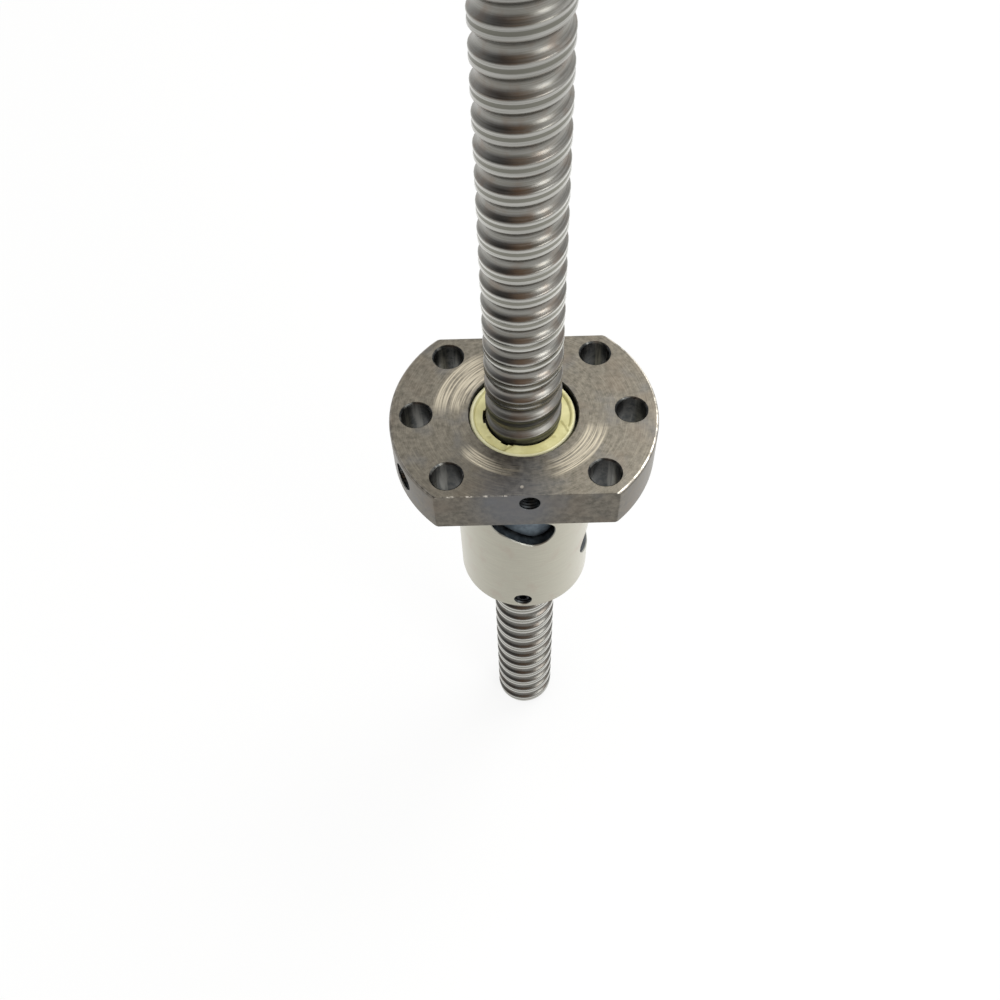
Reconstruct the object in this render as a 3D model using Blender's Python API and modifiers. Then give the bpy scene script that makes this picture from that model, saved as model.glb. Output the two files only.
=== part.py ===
"""Ball screw: a rolled screw with a 4 mm lead and its flanged single nut, standing on the screw's lower end.

Frame: metres, +Z up along the screw, the origin at the centre of the screw's lower end face. The flange's
two flats face -Y and +Y, and its long axis lies along X. The nut holds four ball circuits of one turn each.
Each circuit is closed by a return insert, whose S-shaped channel lifts the balls over one land of the thread
and back by one lead.
"""
import math

import bmesh
import bpy
from mathutils import Matrix, Vector

MM = 0.001

# The balls and the track that they run in
BALL_RADIUS = 2.381 / 2 * MM
BALL_CIRCLE_RADIUS = 6.1 * MM
RUNNING_CLEARANCE = 0.05 * MM
BALL_GAP = 0.25 * MM
BALLS_IN_CHANNEL = 3
BALL_SEGMENTS = 8
BALL_RINGS = 4
TRACK_SIDES = 8

# The screw: its lands stay inside the ball circle
SCREW_LENGTH = 200.0 * MM
LEAD = 4.0 * MM
LAND_DROP = 0.5 * MM
SCREW_OUTER_RADIUS = BALL_CIRCLE_RADIUS - LAND_DROP
END_CHAMFER = 0.8 * MM
THREAD_STEPS = 12
GROOVE_SEGMENTS = 4

# The return inserts, from the land that the balls cross outwards to the nut's outer face
LAND_CLEARANCE = 0.1 * MM
INSERT_ROOF = 1.369 * MM
INSERT_RECESS = 1.5 * MM
INSERT_FACE_RADIUS = SCREW_OUTER_RADIUS + LAND_CLEARANCE + 2 * BALL_RADIUS + RUNNING_CLEARANCE + INSERT_ROOF

# The nut's body, and how high its flange's top face is above the screw's lower end
FLANGE_TOP = 93.6 * MM
NUT_RADIUS = INSERT_FACE_RADIUS + INSERT_RECESS
NUT_CHAMFER = 0.4 * MM
BORE_CLEARANCE = 0.3 * MM
NUT_SIDES = 36

# The six plain bolt holes: one on the flange's long axis and one on each side of it, at both ends
BOLT_SEAT = 5.0 * MM
BOLT_CIRCLE_RADIUS = NUT_RADIUS + BOLT_SEAT
BOLT_HOLE_RADIUS = 2.25 * MM
BOLT_SPREAD = math.radians(45.0)
BOLT_HOLE_SIDES = 16

# The flange: round outside the bolt circle, with two flats just outside the bolt holes
RIM_MARGIN = 4.0 * MM
FLAT_MARGIN = 1.436 * MM
FLANGE_RADIUS = BOLT_CIRCLE_RADIUS + RIM_MARGIN
FLANGE_HALF_WIDTH = BOLT_CIRCLE_RADIUS * math.sin(BOLT_SPREAD) + BOLT_HOLE_RADIUS + FLAT_MARGIN
FLANGE_THICKNESS = 7.5 * MM
FLANGE_CHAMFER = 0.4 * MM
FLANGE_LOWER_CHAMFER = 0.2 * MM

# The wipers and the counterbores that hold them
WIPER_THREAD_CLEARANCE = 0.2 * MM
WIPER_WALL = 2.1 * MM
WIPER_FIT = 0.4 * MM
WIPER_RADIUS = SCREW_OUTER_RADIUS + WIPER_THREAD_CLEARANCE + WIPER_WALL
COUNTERBORE_RADIUS = WIPER_RADIUS + WIPER_FIT
WIPER_THICKNESS = 3.2 * MM
WIPER_GAP = 0.3 * MM
UPPER_WIPER_RECESS = 0.45 * MM
LOWER_WIPER_RECESS = 0.9 * MM
TIP_GROOVE_DEPTH = 0.7 * MM
TIP_GROOVE_WIDTH = 2.2 * MM
RING_SIDES = 32

# The set screws that hold the wipers
SET_SCREW_RADIUS = 1.25 * MM
SET_SCREW_CLEARANCE = 0.27 * MM
SET_SCREW_TIP_RADIUS = 0.75 * MM
SET_SCREW_TIP_LENGTH = 0.7 * MM
SET_SCREW_CHAMFER = 0.2 * MM
UPPER_SET_SCREW_LENGTH = 4.0 * MM
UPPER_SET_SCREW_OFFSET = 0.45 * MM
LOWER_SET_SCREW_LENGTH = 3.0 * MM
LOWER_SET_SCREW_AZIMUTH = math.radians(-92.7)
HEX_SOCKET_WIDTH = 1.3 * MM
HEX_SOCKET_DEPTH = 1.0 * MM
SET_SCREW_SIDES = 12

# The grease port in the flange's rim, and the passage from it to the bore
PORT_AZIMUTH = math.radians(-154.0)
PORT_RADIUS = 2.15 * MM
PORT_DEPTH = 6.0 * MM
PORT_DROP = 3.5 * MM
PASSAGE_RADIUS = 0.9 * MM
PASSAGE_FALL = 4.8 * MM
PORT_SIDES = 16

# The return inserts: obround plugs that step down and round the nut, one for each circuit
INSERT_COUNT = 4
INSERT_AZIMUTH_STEP = math.radians(-90.0)
FIRST_INSERT_AZIMUTH = math.radians(-91.5)
FIRST_INSERT_DROP = 16.0 * MM
POCKET_WALL = 0.39 * MM
INSERT_CAP_RADIUS = 3.0 * MM
INSERT_CAP_SPACING = 5.15 * MM
INSERT_TILT = math.radians(-28.0)
INSERT_CLEARANCE = 0.2 * MM
INSERT_CAP_SEGMENTS = 5

# The S-shaped channel inside each insert, in angles from its middle: it runs on past the insert's ends
CROSSING_HALF_ANGLE = math.radians(36.0)
CHANNEL_HALF_ANGLE = math.radians(96.0)
CHANNEL_STEPS = 24
CHANNEL_BALL_OVERLAP = 0.2 * MM

# How far a cutter runs past the face that it cuts through, and what counts as the same place
CUT_MARGIN = 2.0 * MM
SAME_HEIGHT = 0.001 * MM
MERGE_DISTANCE = 0.001 * MM

STEEL_DARK = ("heat_scaled_steel", (0.17, 0.155, 0.135), 0.42, 1.0)
STEEL_GROUND = ("rolled_thread_steel", (0.42, 0.41, 0.39), 0.28, 1.0)
STEEL_BALL = ("polished_ball_steel", (0.62, 0.62, 0.62), 0.12, 1.0)
STEEL_INSERT = ("sintered_insert_steel", (0.36, 0.38, 0.42), 0.5, 0.9)
STEEL_BLACK = ("blackened_screw_steel", (0.05, 0.05, 0.055), 0.45, 0.9)
WIPER_PLASTIC = ("wiper_plastic", (0.70, 0.68, 0.33), 0.5, 0.0)


def land_half_width():
    """Half the width of the thread's land at the screw's outer radius."""
    reach = groove_vertex_radius()
    drop = BALL_CIRCLE_RADIUS - SCREW_OUTER_RADIUS
    return LEAD / 2 - math.sqrt(reach ** 2 - drop ** 2)


def groove_half_angle(radius):
    """Angle from the groove's deepest point to its edge, for a groove arc of this radius."""
    return math.acos((BALL_CIRCLE_RADIUS - SCREW_OUTER_RADIUS) / radius)


def groove_vertex_radius():
    """Radius of the groove arc's corners, whose chords stay a running clearance off the ball."""
    clear = BALL_RADIUS + RUNNING_CLEARANCE
    half_step = groove_half_angle(clear) / GROOVE_SEGMENTS
    return clear / math.cos(half_step)


def land_height(azimuth):
    """Height of the middle of a land at an azimuth: a land passes under the middle of each insert."""
    turn = (azimuth - FIRST_INSERT_AZIMUTH) / math.tau
    return FLANGE_TOP - FIRST_INSERT_DROP + LEAD * turn


def insert_place(index):
    """Azimuth and height of the middle of a return insert, one turn and a step below the last one."""
    azimuth = FIRST_INSERT_AZIMUTH + index * INSERT_AZIMUTH_STEP
    return azimuth, land_height(azimuth) - index * LEAD


def upper_wiper_middle():
    """Height of the middle of the upper wiper."""
    return FLANGE_TOP - UPPER_WIPER_RECESS - WIPER_THICKNESS / 2


def lower_wiper_middle():
    """Height of the middle of the lower wiper, whose counterbore stops a wall below the last pocket."""
    _, last = insert_place(INSERT_COUNT - 1)
    half_pocket = INSERT_CAP_RADIUS + INSERT_CAP_SPACING / 2 * abs(math.sin(INSERT_TILT))
    return last - half_pocket - POCKET_WALL - WIPER_GAP - WIPER_THICKNESS / 2


def nut_bottom():
    """Height of the nut's lower face."""
    return lower_wiper_middle() - WIPER_THICKNESS / 2 - LOWER_WIPER_RECESS


def circuit_point(index, delta):
    """Centre of a ball at the angle delta past the middle of an insert, from minus to plus half a turn."""
    azimuth, middle = insert_place(index)
    if abs(delta) < CROSSING_HALF_ANGLE:
        offset = -LEAD / 2 * math.sin(math.pi / 2 * delta / CROSSING_HALF_ANGLE)
    else:
        offset = -math.copysign(LEAD / 2, delta)
    reach = BALL_RADIUS + LAND_CLEARANCE
    side = max(0.0, abs(offset) - land_half_width())
    radius = BALL_CIRCLE_RADIUS
    if side < reach:
        radius = max(radius, SCREW_OUTER_RADIUS + math.sqrt(reach ** 2 - side ** 2))
    angle = azimuth + delta
    height = middle + LEAD * delta / math.tau + offset
    return Vector((radius * math.cos(angle), radius * math.sin(angle), height))


def circuit_places(index):
    """Centres of one circuit's balls, evenly spaced round it, the middle one of the channel first."""
    samples = 1440
    deltas = [math.remainder(math.tau * step / samples, math.tau) for step in range(samples)]
    points = [circuit_point(index, delta) for delta in deltas]
    lengths = [0.0]
    for here, there in zip(points, points[1:] + points[:1]):
        lengths.append(lengths[-1] + (there - here).length)
    count = math.floor(lengths[-1] / (2 * BALL_RADIUS + BALL_GAP))
    spacing = lengths[-1] / count
    places = []
    sample = 0
    for ball in range(count):
        while lengths[sample] < ball * spacing:
            sample += 1
        places.append(points[sample])
    return places


def clear_scene():
    """Remove what the scene starts with."""
    for thing in list(bpy.data.objects):
        bpy.data.objects.remove(thing, do_unlink=True)


def make_collection(name):
    """A new collection in the scene."""
    group = bpy.data.collections.new(name)
    bpy.context.scene.collection.children.link(group)
    return group


def material(finish):
    """The Principled material of a finish: its name, colour, roughness and metallic value."""
    name, colour, roughness, metallic = finish
    found = bpy.data.materials.get(name)
    if found:
        return found
    made = bpy.data.materials.new(name)
    made.use_nodes = True
    shader = made.node_tree.nodes["Principled BSDF"]
    shader.inputs["Base Color"].default_value = (*colour, 1.0)
    shader.inputs["Roughness"].default_value = roughness
    shader.inputs["Metallic"].default_value = metallic
    return made


def place_object(name, mesh, group, finish=None):
    """Put a mesh in the scene, as a piece with a finish, or as a hidden cutter without one."""
    placed = bpy.data.objects.new(name, mesh)
    group.objects.link(placed)
    if finish:
        if not mesh.materials:
            mesh.materials.append(material(finish))
    else:
        placed.hide_render = True
        placed.display_type = "WIRE"
    return placed


def finished_mesh(name, shape):
    """A mesh from a bmesh, shaded smooth but for its sharp edges."""
    mesh = bpy.data.meshes.new(name)
    bmesh.ops.recalc_face_normals(shape, faces=shape.faces)
    shape.to_mesh(mesh)
    shape.free()
    mesh.shade_smooth()
    mesh.set_sharp_from_angle(angle=math.radians(35.0))
    return mesh


def turned_piece(name, profile, sides, group, finish=None):
    """A turned piece: a closed profile of (radius, height) points, or one that starts and ends on the axis."""
    mesh = bpy.data.meshes.new(name)
    points = [(radius, 0.0, height) for radius, height in profile]
    edges = [(step, step + 1) for step in range(len(points) - 1)]
    if profile[0][0] > 0.0:
        edges.append((len(points) - 1, 0))
    mesh.from_pydata(points, edges, [])
    piece = place_object(name, mesh, group, finish)
    lathe = piece.modifiers.new("Lathe", "SCREW")
    lathe.axis = "Z"
    lathe.angle = math.tau
    lathe.steps = sides
    lathe.render_steps = sides
    lathe.use_merge_vertices = True
    lathe.merge_threshold = MERGE_DISTANCE
    lathe.use_smooth_shade = True
    return piece


def combine(piece, other, operation):
    """Cut a piece with another mesh, join that to it, or keep what both share."""
    step = piece.modifiers.new(other.name, "BOOLEAN")
    step.operation = operation
    step.solver = "EXACT"
    step.object = other


def mesh_from_curve(name, curve, matrix, group):
    """Turn a filled curve into a closed cutter mesh with its caps welded on, placed by a matrix."""
    drawn = bpy.data.objects.new(name + "_curve", curve)
    group.objects.link(drawn)
    graph = bpy.context.evaluated_depsgraph_get()
    mesh = bpy.data.meshes.new_from_object(drawn.evaluated_get(graph))
    shape = bmesh.new()
    shape.from_mesh(mesh)
    bmesh.ops.remove_doubles(shape, verts=shape.verts, dist=MERGE_DISTANCE)
    bmesh.ops.transform(shape, matrix=matrix, verts=shape.verts)
    bmesh.ops.recalc_face_normals(shape, faces=shape.faces)
    shape.to_mesh(mesh)
    shape.free()
    bpy.data.objects.remove(drawn, do_unlink=True)
    mesh.name = name
    return place_object(name, mesh, group)


def tube_along(name, points, radius, group):
    """A capped tube with flat sides that follows a list of points."""
    curve = bpy.data.curves.new(name, "CURVE")
    curve.dimensions = "3D"
    spline = curve.splines.new("POLY")
    spline.points.add(len(points) - 1)
    for knot, point in zip(spline.points, points):
        knot.co = (*point, 1.0)
    curve.bevel_depth = radius
    curve.bevel_resolution = (TRACK_SIDES - 4) // 2
    curve.use_fill_caps = True
    return mesh_from_curve(name, curve, Matrix(), group)


def cylinder_between(name, start, end, radius, sides, group):
    """A round cutter from one point to another."""
    start, end = Vector(start), Vector(end)
    run = end - start
    shape = bmesh.new()
    bmesh.ops.create_cone(
        shape, cap_ends=True, segments=sides, radius1=radius, radius2=radius, depth=run.length,
    )
    turn = run.to_track_quat("Z", "Y").to_matrix().to_4x4()
    bmesh.ops.transform(shape, matrix=Matrix.Translation((start + end) / 2) @ turn, verts=shape.verts)
    return place_object(name, finished_mesh(name, shape), group)


def radial_point(azimuth, radius, height):
    """A point at a radius and an azimuth round the screw."""
    return Vector((radius * math.cos(azimuth), radius * math.sin(azimuth), height))


def thread_profile(growth, spread):
    """One lead of the thread, from the middle of a groove up to the next, as (radius, height) points.

    The profile is the screw's own, grown outwards by growth, and its radii are widened by the factor spread.
    """
    radius = groove_vertex_radius() - growth
    land_radius = SCREW_OUTER_RADIUS + growth
    edge = math.acos((BALL_CIRCLE_RADIUS - land_radius) / radius)
    half = GROOVE_SEGMENTS // 2
    points = []
    for step in range(half + 1):
        angle = edge * step / half
        points.append((BALL_CIRCLE_RADIUS - radius * math.cos(angle), radius * math.sin(angle)))
    mirrored = [(reach, LEAD - height) for reach, height in reversed(points)]
    return [(reach * spread, height) for reach, height in points + mirrored]


def lies_at(edge, height):
    """Whether both ends of an edge are at a height."""
    return all(abs(vert.co.z - height) < SAME_HEIGHT for vert in edge.verts)


def threaded_bar(name, bottom, top, growth, spread, group, finish=None):
    """A bar with the screw's thread, swept along the helix and cut square at both ends."""
    shape = bmesh.new()
    groove = land_height(0.0) + LEAD / 2
    first = groove - LEAD * (math.ceil((groove - bottom) / LEAD) + 1)
    turns = math.ceil((top - first) / LEAD) + 1
    knots = [shape.verts.new((reach, 0.0, first + height)) for reach, height in thread_profile(growth, spread)]
    edges = [shape.edges.new(pair) for pair in zip(knots, knots[1:])]
    bmesh.ops.spin(
        shape, geom=knots + edges, cent=(0.0, 0.0, 0.0), axis=(0.0, 0.0, 1.0),
        dvec=(0.0, 0.0, LEAD / THREAD_STEPS), angle=math.tau * turns, steps=THREAD_STEPS * turns,
    )
    bmesh.ops.remove_doubles(shape, verts=shape.verts, dist=MERGE_DISTANCE)
    for height, facing in ((bottom, -1.0), (top, 1.0)):
        everything = shape.verts[:] + shape.edges[:] + shape.faces[:]
        bmesh.ops.bisect_plane(
            shape, geom=everything, dist=MERGE_DISTANCE, plane_co=(0.0, 0.0, height),
            plane_no=(0.0, 0.0, facing), clear_outer=True,
        )
        rim = [edge for edge in shape.edges if edge.is_boundary and lies_at(edge, height)]
        bmesh.ops.edgeloop_fill(shape, edges=rim)
    return place_object(name, finished_mesh(name, shape), group, finish)


def build_screw(parts, cutters):
    """The screw shaft: rolled thread over its whole length, both ends cut square and chamfered."""
    screw = threaded_bar("screw_shaft", 0.0, SCREW_LENGTH, 0.0, 1.0, parts, STEEL_GROUND)
    tip = SCREW_OUTER_RADIUS - END_CHAMFER
    wide = SCREW_OUTER_RADIUS + CUT_MARGIN
    slope = wide - tip
    blank = turned_piece("screw_chamfers", [
        (0.0, SCREW_LENGTH), (tip, SCREW_LENGTH), (wide, SCREW_LENGTH - slope),
        (wide, slope), (tip, 0.0), (0.0, 0.0),
    ], RING_SIDES, cutters)
    blank.rotation_euler.z = math.tau / RING_SIDES / 4
    combine(screw, blank, "INTERSECT")


def build_nut_body(parts, cutters):
    """The nut: flange and body in one piece, with the ball track, pockets, counterbores and holes."""
    bore = SCREW_OUTER_RADIUS + BORE_CLEARANCE
    top = FLANGE_TOP
    under = FLANGE_TOP - FLANGE_THICKNESS
    bottom = nut_bottom()
    upper_seat = upper_wiper_middle() - WIPER_THICKNESS / 2 - WIPER_GAP
    lower_seat = lower_wiper_middle() + WIPER_THICKNESS / 2 + WIPER_GAP
    nut = turned_piece("nut_body", [
        (COUNTERBORE_RADIUS, top),
        (FLANGE_RADIUS - FLANGE_CHAMFER, top), (FLANGE_RADIUS, top - FLANGE_CHAMFER),
        (FLANGE_RADIUS, under + FLANGE_LOWER_CHAMFER), (FLANGE_RADIUS - FLANGE_LOWER_CHAMFER, under),
        (NUT_RADIUS, under), (NUT_RADIUS, bottom + NUT_CHAMFER), (NUT_RADIUS - NUT_CHAMFER, bottom),
        (COUNTERBORE_RADIUS, bottom), (COUNTERBORE_RADIUS, lower_seat), (bore, lower_seat),
        (bore, upper_seat), (COUNTERBORE_RADIUS, upper_seat),
    ], NUT_SIDES, parts, STEEL_DARK)
    cut_flange_flats(nut, cutters)
    cut_bolt_holes(nut, cutters)
    combine(nut, ball_track_cutter(lower_seat, upper_seat, cutters), "DIFFERENCE")
    for index in range(INSERT_COUNT):
        combine(nut, insert_prism(index, 0.0, cutters), "DIFFERENCE")
    cut_set_screw_holes(nut, cutters)
    cut_grease_port(nut, cutters)


def cut_flange_flats(nut, cutters):
    """Cut the two flats, whose edges stay sharp."""
    depth = FLANGE_RADIUS - FLANGE_HALF_WIDTH + CUT_MARGIN
    size = Vector((2 * FLANGE_RADIUS, depth, FLANGE_THICKNESS + 2 * CUT_MARGIN, 1.0))
    for side in (-1.0, 1.0):
        middle = Vector((0.0, side * (FLANGE_HALF_WIDTH + depth / 2), FLANGE_TOP - FLANGE_THICKNESS / 2))
        shape = bmesh.new()
        bmesh.ops.create_cube(shape, size=1.0)
        bmesh.ops.transform(shape, matrix=Matrix.Translation(middle) @ Matrix.Diagonal(size), verts=shape.verts)
        block = place_object("flange_flat_cut", finished_mesh("flange_flat_cut", shape), cutters)
        combine(nut, block, "DIFFERENCE")


def cut_bolt_holes(nut, cutters):
    """Cut the six plain bolt holes through the flange."""
    for end in (0.0, math.pi):
        for spread in (-BOLT_SPREAD, 0.0, BOLT_SPREAD):
            start = radial_point(end + spread, BOLT_CIRCLE_RADIUS, FLANGE_TOP - FLANGE_THICKNESS - CUT_MARGIN)
            stop = radial_point(end + spread, BOLT_CIRCLE_RADIUS, FLANGE_TOP + CUT_MARGIN)
            hole = cylinder_between("bolt_hole_cut", start, stop, BOLT_HOLE_RADIUS, BOLT_HOLE_SIDES, cutters)
            combine(nut, hole, "DIFFERENCE")


def cut_set_screw_holes(nut, cutters):
    """Cut the holes of the two set screws, which end in the counterbores."""
    radius = SET_SCREW_RADIUS + SET_SCREW_CLEARANCE
    height = upper_wiper_middle()
    start = Vector((UPPER_SET_SCREW_OFFSET, -FLANGE_HALF_WIDTH - CUT_MARGIN, height))
    stop = Vector((UPPER_SET_SCREW_OFFSET, -WIPER_RADIUS, height))
    hole = cylinder_between("upper_screw_cut", start, stop, radius, SET_SCREW_SIDES, cutters)
    combine(nut, hole, "DIFFERENCE")
    height = lower_wiper_middle()
    start = radial_point(LOWER_SET_SCREW_AZIMUTH, NUT_RADIUS + CUT_MARGIN, height)
    stop = radial_point(LOWER_SET_SCREW_AZIMUTH, WIPER_RADIUS, height)
    hole = cylinder_between("lower_screw_cut", start, stop, radius, SET_SCREW_SIDES, cutters)
    combine(nut, hole, "DIFFERENCE")


def cut_grease_port(nut, cutters):
    """Cut the grease port in the flange's rim, and the passage that falls from its floor to the bore."""
    height = FLANGE_TOP - PORT_DROP
    floor = radial_point(PORT_AZIMUTH, FLANGE_RADIUS - PORT_DEPTH, height)
    mouth = radial_point(PORT_AZIMUTH, FLANGE_RADIUS + CUT_MARGIN, height)
    port = cylinder_between("grease_port_cut", floor, mouth, PORT_RADIUS, PORT_SIDES, cutters)
    combine(nut, port, "DIFFERENCE")
    outlet = radial_point(PORT_AZIMUTH, SCREW_OUTER_RADIUS, height - PASSAGE_FALL)
    inlet = floor + (floor - outlet).normalized() * PASSAGE_RADIUS
    passage = cylinder_between("grease_passage_cut", inlet, outlet, PASSAGE_RADIUS, PORT_SIDES, cutters)
    combine(nut, passage, "DIFFERENCE")


def ball_track_cutter(lower_seat, upper_seat, cutters):
    """The helical track in the nut's bore, which runs out into both counterbores."""
    bend = math.cos(math.pi / THREAD_STEPS)
    radius = (BALL_RADIUS + RUNNING_CLEARANCE) / math.cos(math.pi / TRACK_SIDES) / bend
    low = lower_seat - radius
    high = upper_seat + radius
    groove = land_height(0.0) + LEAD / 2
    first = math.floor((low - groove) / LEAD * THREAD_STEPS)
    last = math.ceil((high - groove) / LEAD * THREAD_STEPS)
    points = []
    for step in range(first, last + 1):
        angle = math.tau * step / THREAD_STEPS
        points.append(radial_point(angle, BALL_CIRCLE_RADIUS / bend, groove + LEAD * step / THREAD_STEPS))
    return tube_along("ball_track_cut", points, radius, cutters)


def build_ball_mesh():
    """A ball about its own centre."""
    shape = bmesh.new()
    bmesh.ops.create_uvsphere(shape, u_segments=BALL_SEGMENTS, v_segments=BALL_RINGS, radius=BALL_RADIUS)
    return finished_mesh("ball", shape)


def insert_frame(index):
    """Matrix from an insert's own axes to the world: x round the nut, y up along it, z outwards."""
    azimuth, height = insert_place(index)
    outwards = radial_point(azimuth, 1.0, 0.0)
    up = Vector((0.0, 0.0, 1.0))
    turn = Matrix((up.cross(outwards), up, outwards)).transposed().to_4x4()
    return Matrix.Translation((0.0, 0.0, height)) @ turn @ Matrix.Rotation(INSERT_TILT, 4, "Z")


def insert_prism(index, clearance, cutters):
    """The obround outline of an insert, less a clearance, from the screw's axis to outside the nut."""
    radius = INSERT_CAP_RADIUS - clearance
    curve = bpy.data.curves.new("obround", "CURVE")
    curve.dimensions = "2D"
    curve.fill_mode = "BOTH"
    spline = curve.splines.new("POLY")
    spline.use_cyclic_u = True
    spline.points.add(2 * (INSERT_CAP_SEGMENTS + 1) - 1)
    knot = 0
    for side in (1.0, -1.0):
        for step in range(INSERT_CAP_SEGMENTS + 1):
            angle = math.pi * step / INSERT_CAP_SEGMENTS - math.pi / 2
            x = side * (INSERT_CAP_SPACING / 2 + radius * math.cos(angle))
            y = side * radius * math.sin(angle)
            spline.points[knot].co = (x, y, 0.0, 1.0)
            knot += 1
    curve.extrude = (NUT_RADIUS + CUT_MARGIN) / 2
    matrix = insert_frame(index) @ Matrix.Translation((0.0, 0.0, curve.extrude))
    return mesh_from_curve("insert_outline", curve, matrix, cutters)


def build_return_insert(index, parts, cutters):
    """A return insert: an obround plug with the S-shaped channel, and the balls that it carries."""
    bore = SCREW_OUTER_RADIUS + BORE_CLEARANCE
    _, height = insert_place(index)
    reach = INSERT_CAP_SPACING / 2 + INSERT_CAP_RADIUS + CUT_MARGIN
    piece = turned_piece("return_insert_%d" % (index + 1), [
        (bore, height + reach), (INSERT_FACE_RADIUS, height + reach), (INSERT_FACE_RADIUS, height - reach),
        (bore, height - reach),
    ], NUT_SIDES, parts, STEEL_INSERT)
    combine(piece, insert_prism(index, INSERT_CLEARANCE, cutters), "INTERSECT")

    deltas = [CHANNEL_HALF_ANGLE * (2 * step / CHANNEL_STEPS - 1) for step in range(CHANNEL_STEPS + 1)]
    points = [circuit_point(index, delta) for delta in deltas]
    radius = (BALL_RADIUS + RUNNING_CLEARANCE) / math.cos(math.pi / TRACK_SIDES)
    combine(piece, tube_along("return_channel_cut", points, radius, cutters), "DIFFERENCE")

    places = circuit_places(index)
    for ball in range(-(BALLS_IN_CHANNEL // 2), BALLS_IN_CHANNEL // 2 + 1):
        centre = places[ball]
        azimuth = math.atan2(centre.y, centre.x)
        held = place_object("channel_ball", build_ball_mesh(), cutters)
        held.location = centre + radial_point(azimuth, CHANNEL_BALL_OVERLAP, 0.0)
        held.rotation_euler.z = azimuth
        combine(piece, held, "UNION")


def build_balls(index, ball_mesh, parts):
    """The balls of one circuit that run between the screw and the nut."""
    places = circuit_places(index)
    half = BALLS_IN_CHANNEL // 2
    loaded = places[half + 1:len(places) - half]
    for number, centre in enumerate(loaded, start=1):
        ball = place_object("ball_%d_%02d" % (index + 1, number), ball_mesh, parts, STEEL_BALL)
        ball.location = centre


def build_upper_wiper(parts, cutters):
    """The upper wiper: a plastic ring whose inner lip follows the thread, just below the flange's face."""
    top = upper_wiper_middle() + WIPER_THICKNESS / 2
    bottom = upper_wiper_middle() - WIPER_THICKNESS / 2
    inside = SCREW_OUTER_RADIUS / 2
    ring = turned_piece("upper_wiper", [
        (inside, top), (WIPER_RADIUS, top), (WIPER_RADIUS, bottom), (inside, bottom),
    ], RING_SIDES, parts, WIPER_PLASTIC)
    widen = 1.0 / math.cos(math.pi / THREAD_STEPS)
    growth = WIPER_THREAD_CLEARANCE
    cut = threaded_bar("wiper_thread_cut", bottom - CUT_MARGIN, top + CUT_MARGIN, growth, widen, cutters)
    combine(ring, cut, "DIFFERENCE")


def build_lower_wiper(parts):
    """The lower wiper: a plain ring in the lower counterbore, held by the set screw in its groove."""
    middle = lower_wiper_middle()
    top, bottom = middle + WIPER_THICKNESS / 2, middle - WIPER_THICKNESS / 2
    inside = (SCREW_OUTER_RADIUS + WIPER_THREAD_CLEARANCE) / math.cos(math.pi / RING_SIDES)
    floor = WIPER_RADIUS - TIP_GROOVE_DEPTH
    half = TIP_GROOVE_WIDTH / 2
    turned_piece("lower_wiper", [
        (inside, top), (WIPER_RADIUS, top), (WIPER_RADIUS, middle + half), (floor, middle + half),
        (floor, middle - half), (WIPER_RADIUS, middle - half), (WIPER_RADIUS, bottom), (inside, bottom),
    ], RING_SIDES, parts, WIPER_PLASTIC)


def build_set_screw(name, tip, outwards, length, parts, cutters):
    """A hexagon socket set screw with a dog point, from its tip outwards."""
    shoulder = SET_SCREW_TIP_LENGTH
    screw = turned_piece(name, [
        (0.0, length), (SET_SCREW_RADIUS - SET_SCREW_CHAMFER, length),
        (SET_SCREW_RADIUS, length - SET_SCREW_CHAMFER), (SET_SCREW_RADIUS, shoulder),
        (SET_SCREW_TIP_RADIUS, shoulder), (SET_SCREW_TIP_RADIUS, 0.0), (0.0, 0.0),
    ], SET_SCREW_SIDES, parts, STEEL_BLACK)
    screw.location = tip
    screw.rotation_euler = outwards.to_track_quat("Z", "Y").to_euler()
    start = tip + outwards * (length + CUT_MARGIN)
    stop = tip + outwards * (length - HEX_SOCKET_DEPTH)
    corner = HEX_SOCKET_WIDTH / 2 / math.cos(math.pi / 6)
    combine(screw, cylinder_between(name + "_socket", start, stop, corner, 6, cutters), "DIFFERENCE")


def build_set_screws(parts, cutters):
    """The two set screws that hold the wipers."""
    tip = Vector((UPPER_SET_SCREW_OFFSET, -WIPER_RADIUS - WIPER_GAP, upper_wiper_middle()))
    outwards = Vector((0.0, -1.0, 0.0))
    build_set_screw("upper_wiper_set_screw", tip, outwards, UPPER_SET_SCREW_LENGTH, parts, cutters)
    reach = WIPER_RADIUS - TIP_GROOVE_DEPTH + WIPER_GAP
    tip = radial_point(LOWER_SET_SCREW_AZIMUTH, reach, lower_wiper_middle())
    outwards = radial_point(LOWER_SET_SCREW_AZIMUTH, 1.0, 0.0)
    build_set_screw("lower_wiper_set_screw", tip, outwards, LOWER_SET_SCREW_LENGTH, parts, cutters)


def main():
    """Build the whole ball screw."""
    clear_scene()
    parts = make_collection("ball_screw")
    cutters = make_collection("cutters")
    build_screw(parts, cutters)
    build_nut_body(parts, cutters)
    ball_mesh = build_ball_mesh()
    for index in range(INSERT_COUNT):
        build_return_insert(index, parts, cutters)
        build_balls(index, ball_mesh, parts)
    build_upper_wiper(parts, cutters)
    build_lower_wiper(parts)
    build_set_screws(parts, cutters)


main()
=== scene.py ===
"""Dresses a ball screw: the fine surface of each piece, its finish, and a plain studio round it.

Frame: metres, +Z up along the screw, the origin at the centre of the screw's lower end face. The flange's
flats face -Y and +Y. Every finished piece has its object at the origin and its place in its mesh.
"""
from __future__ import annotations

import logging
import math
from collections.abc import Iterable, Sequence
from dataclasses import dataclass, field
from enum import Enum

import bmesh
import bpy
from mathutils import Matrix, Vector

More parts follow.
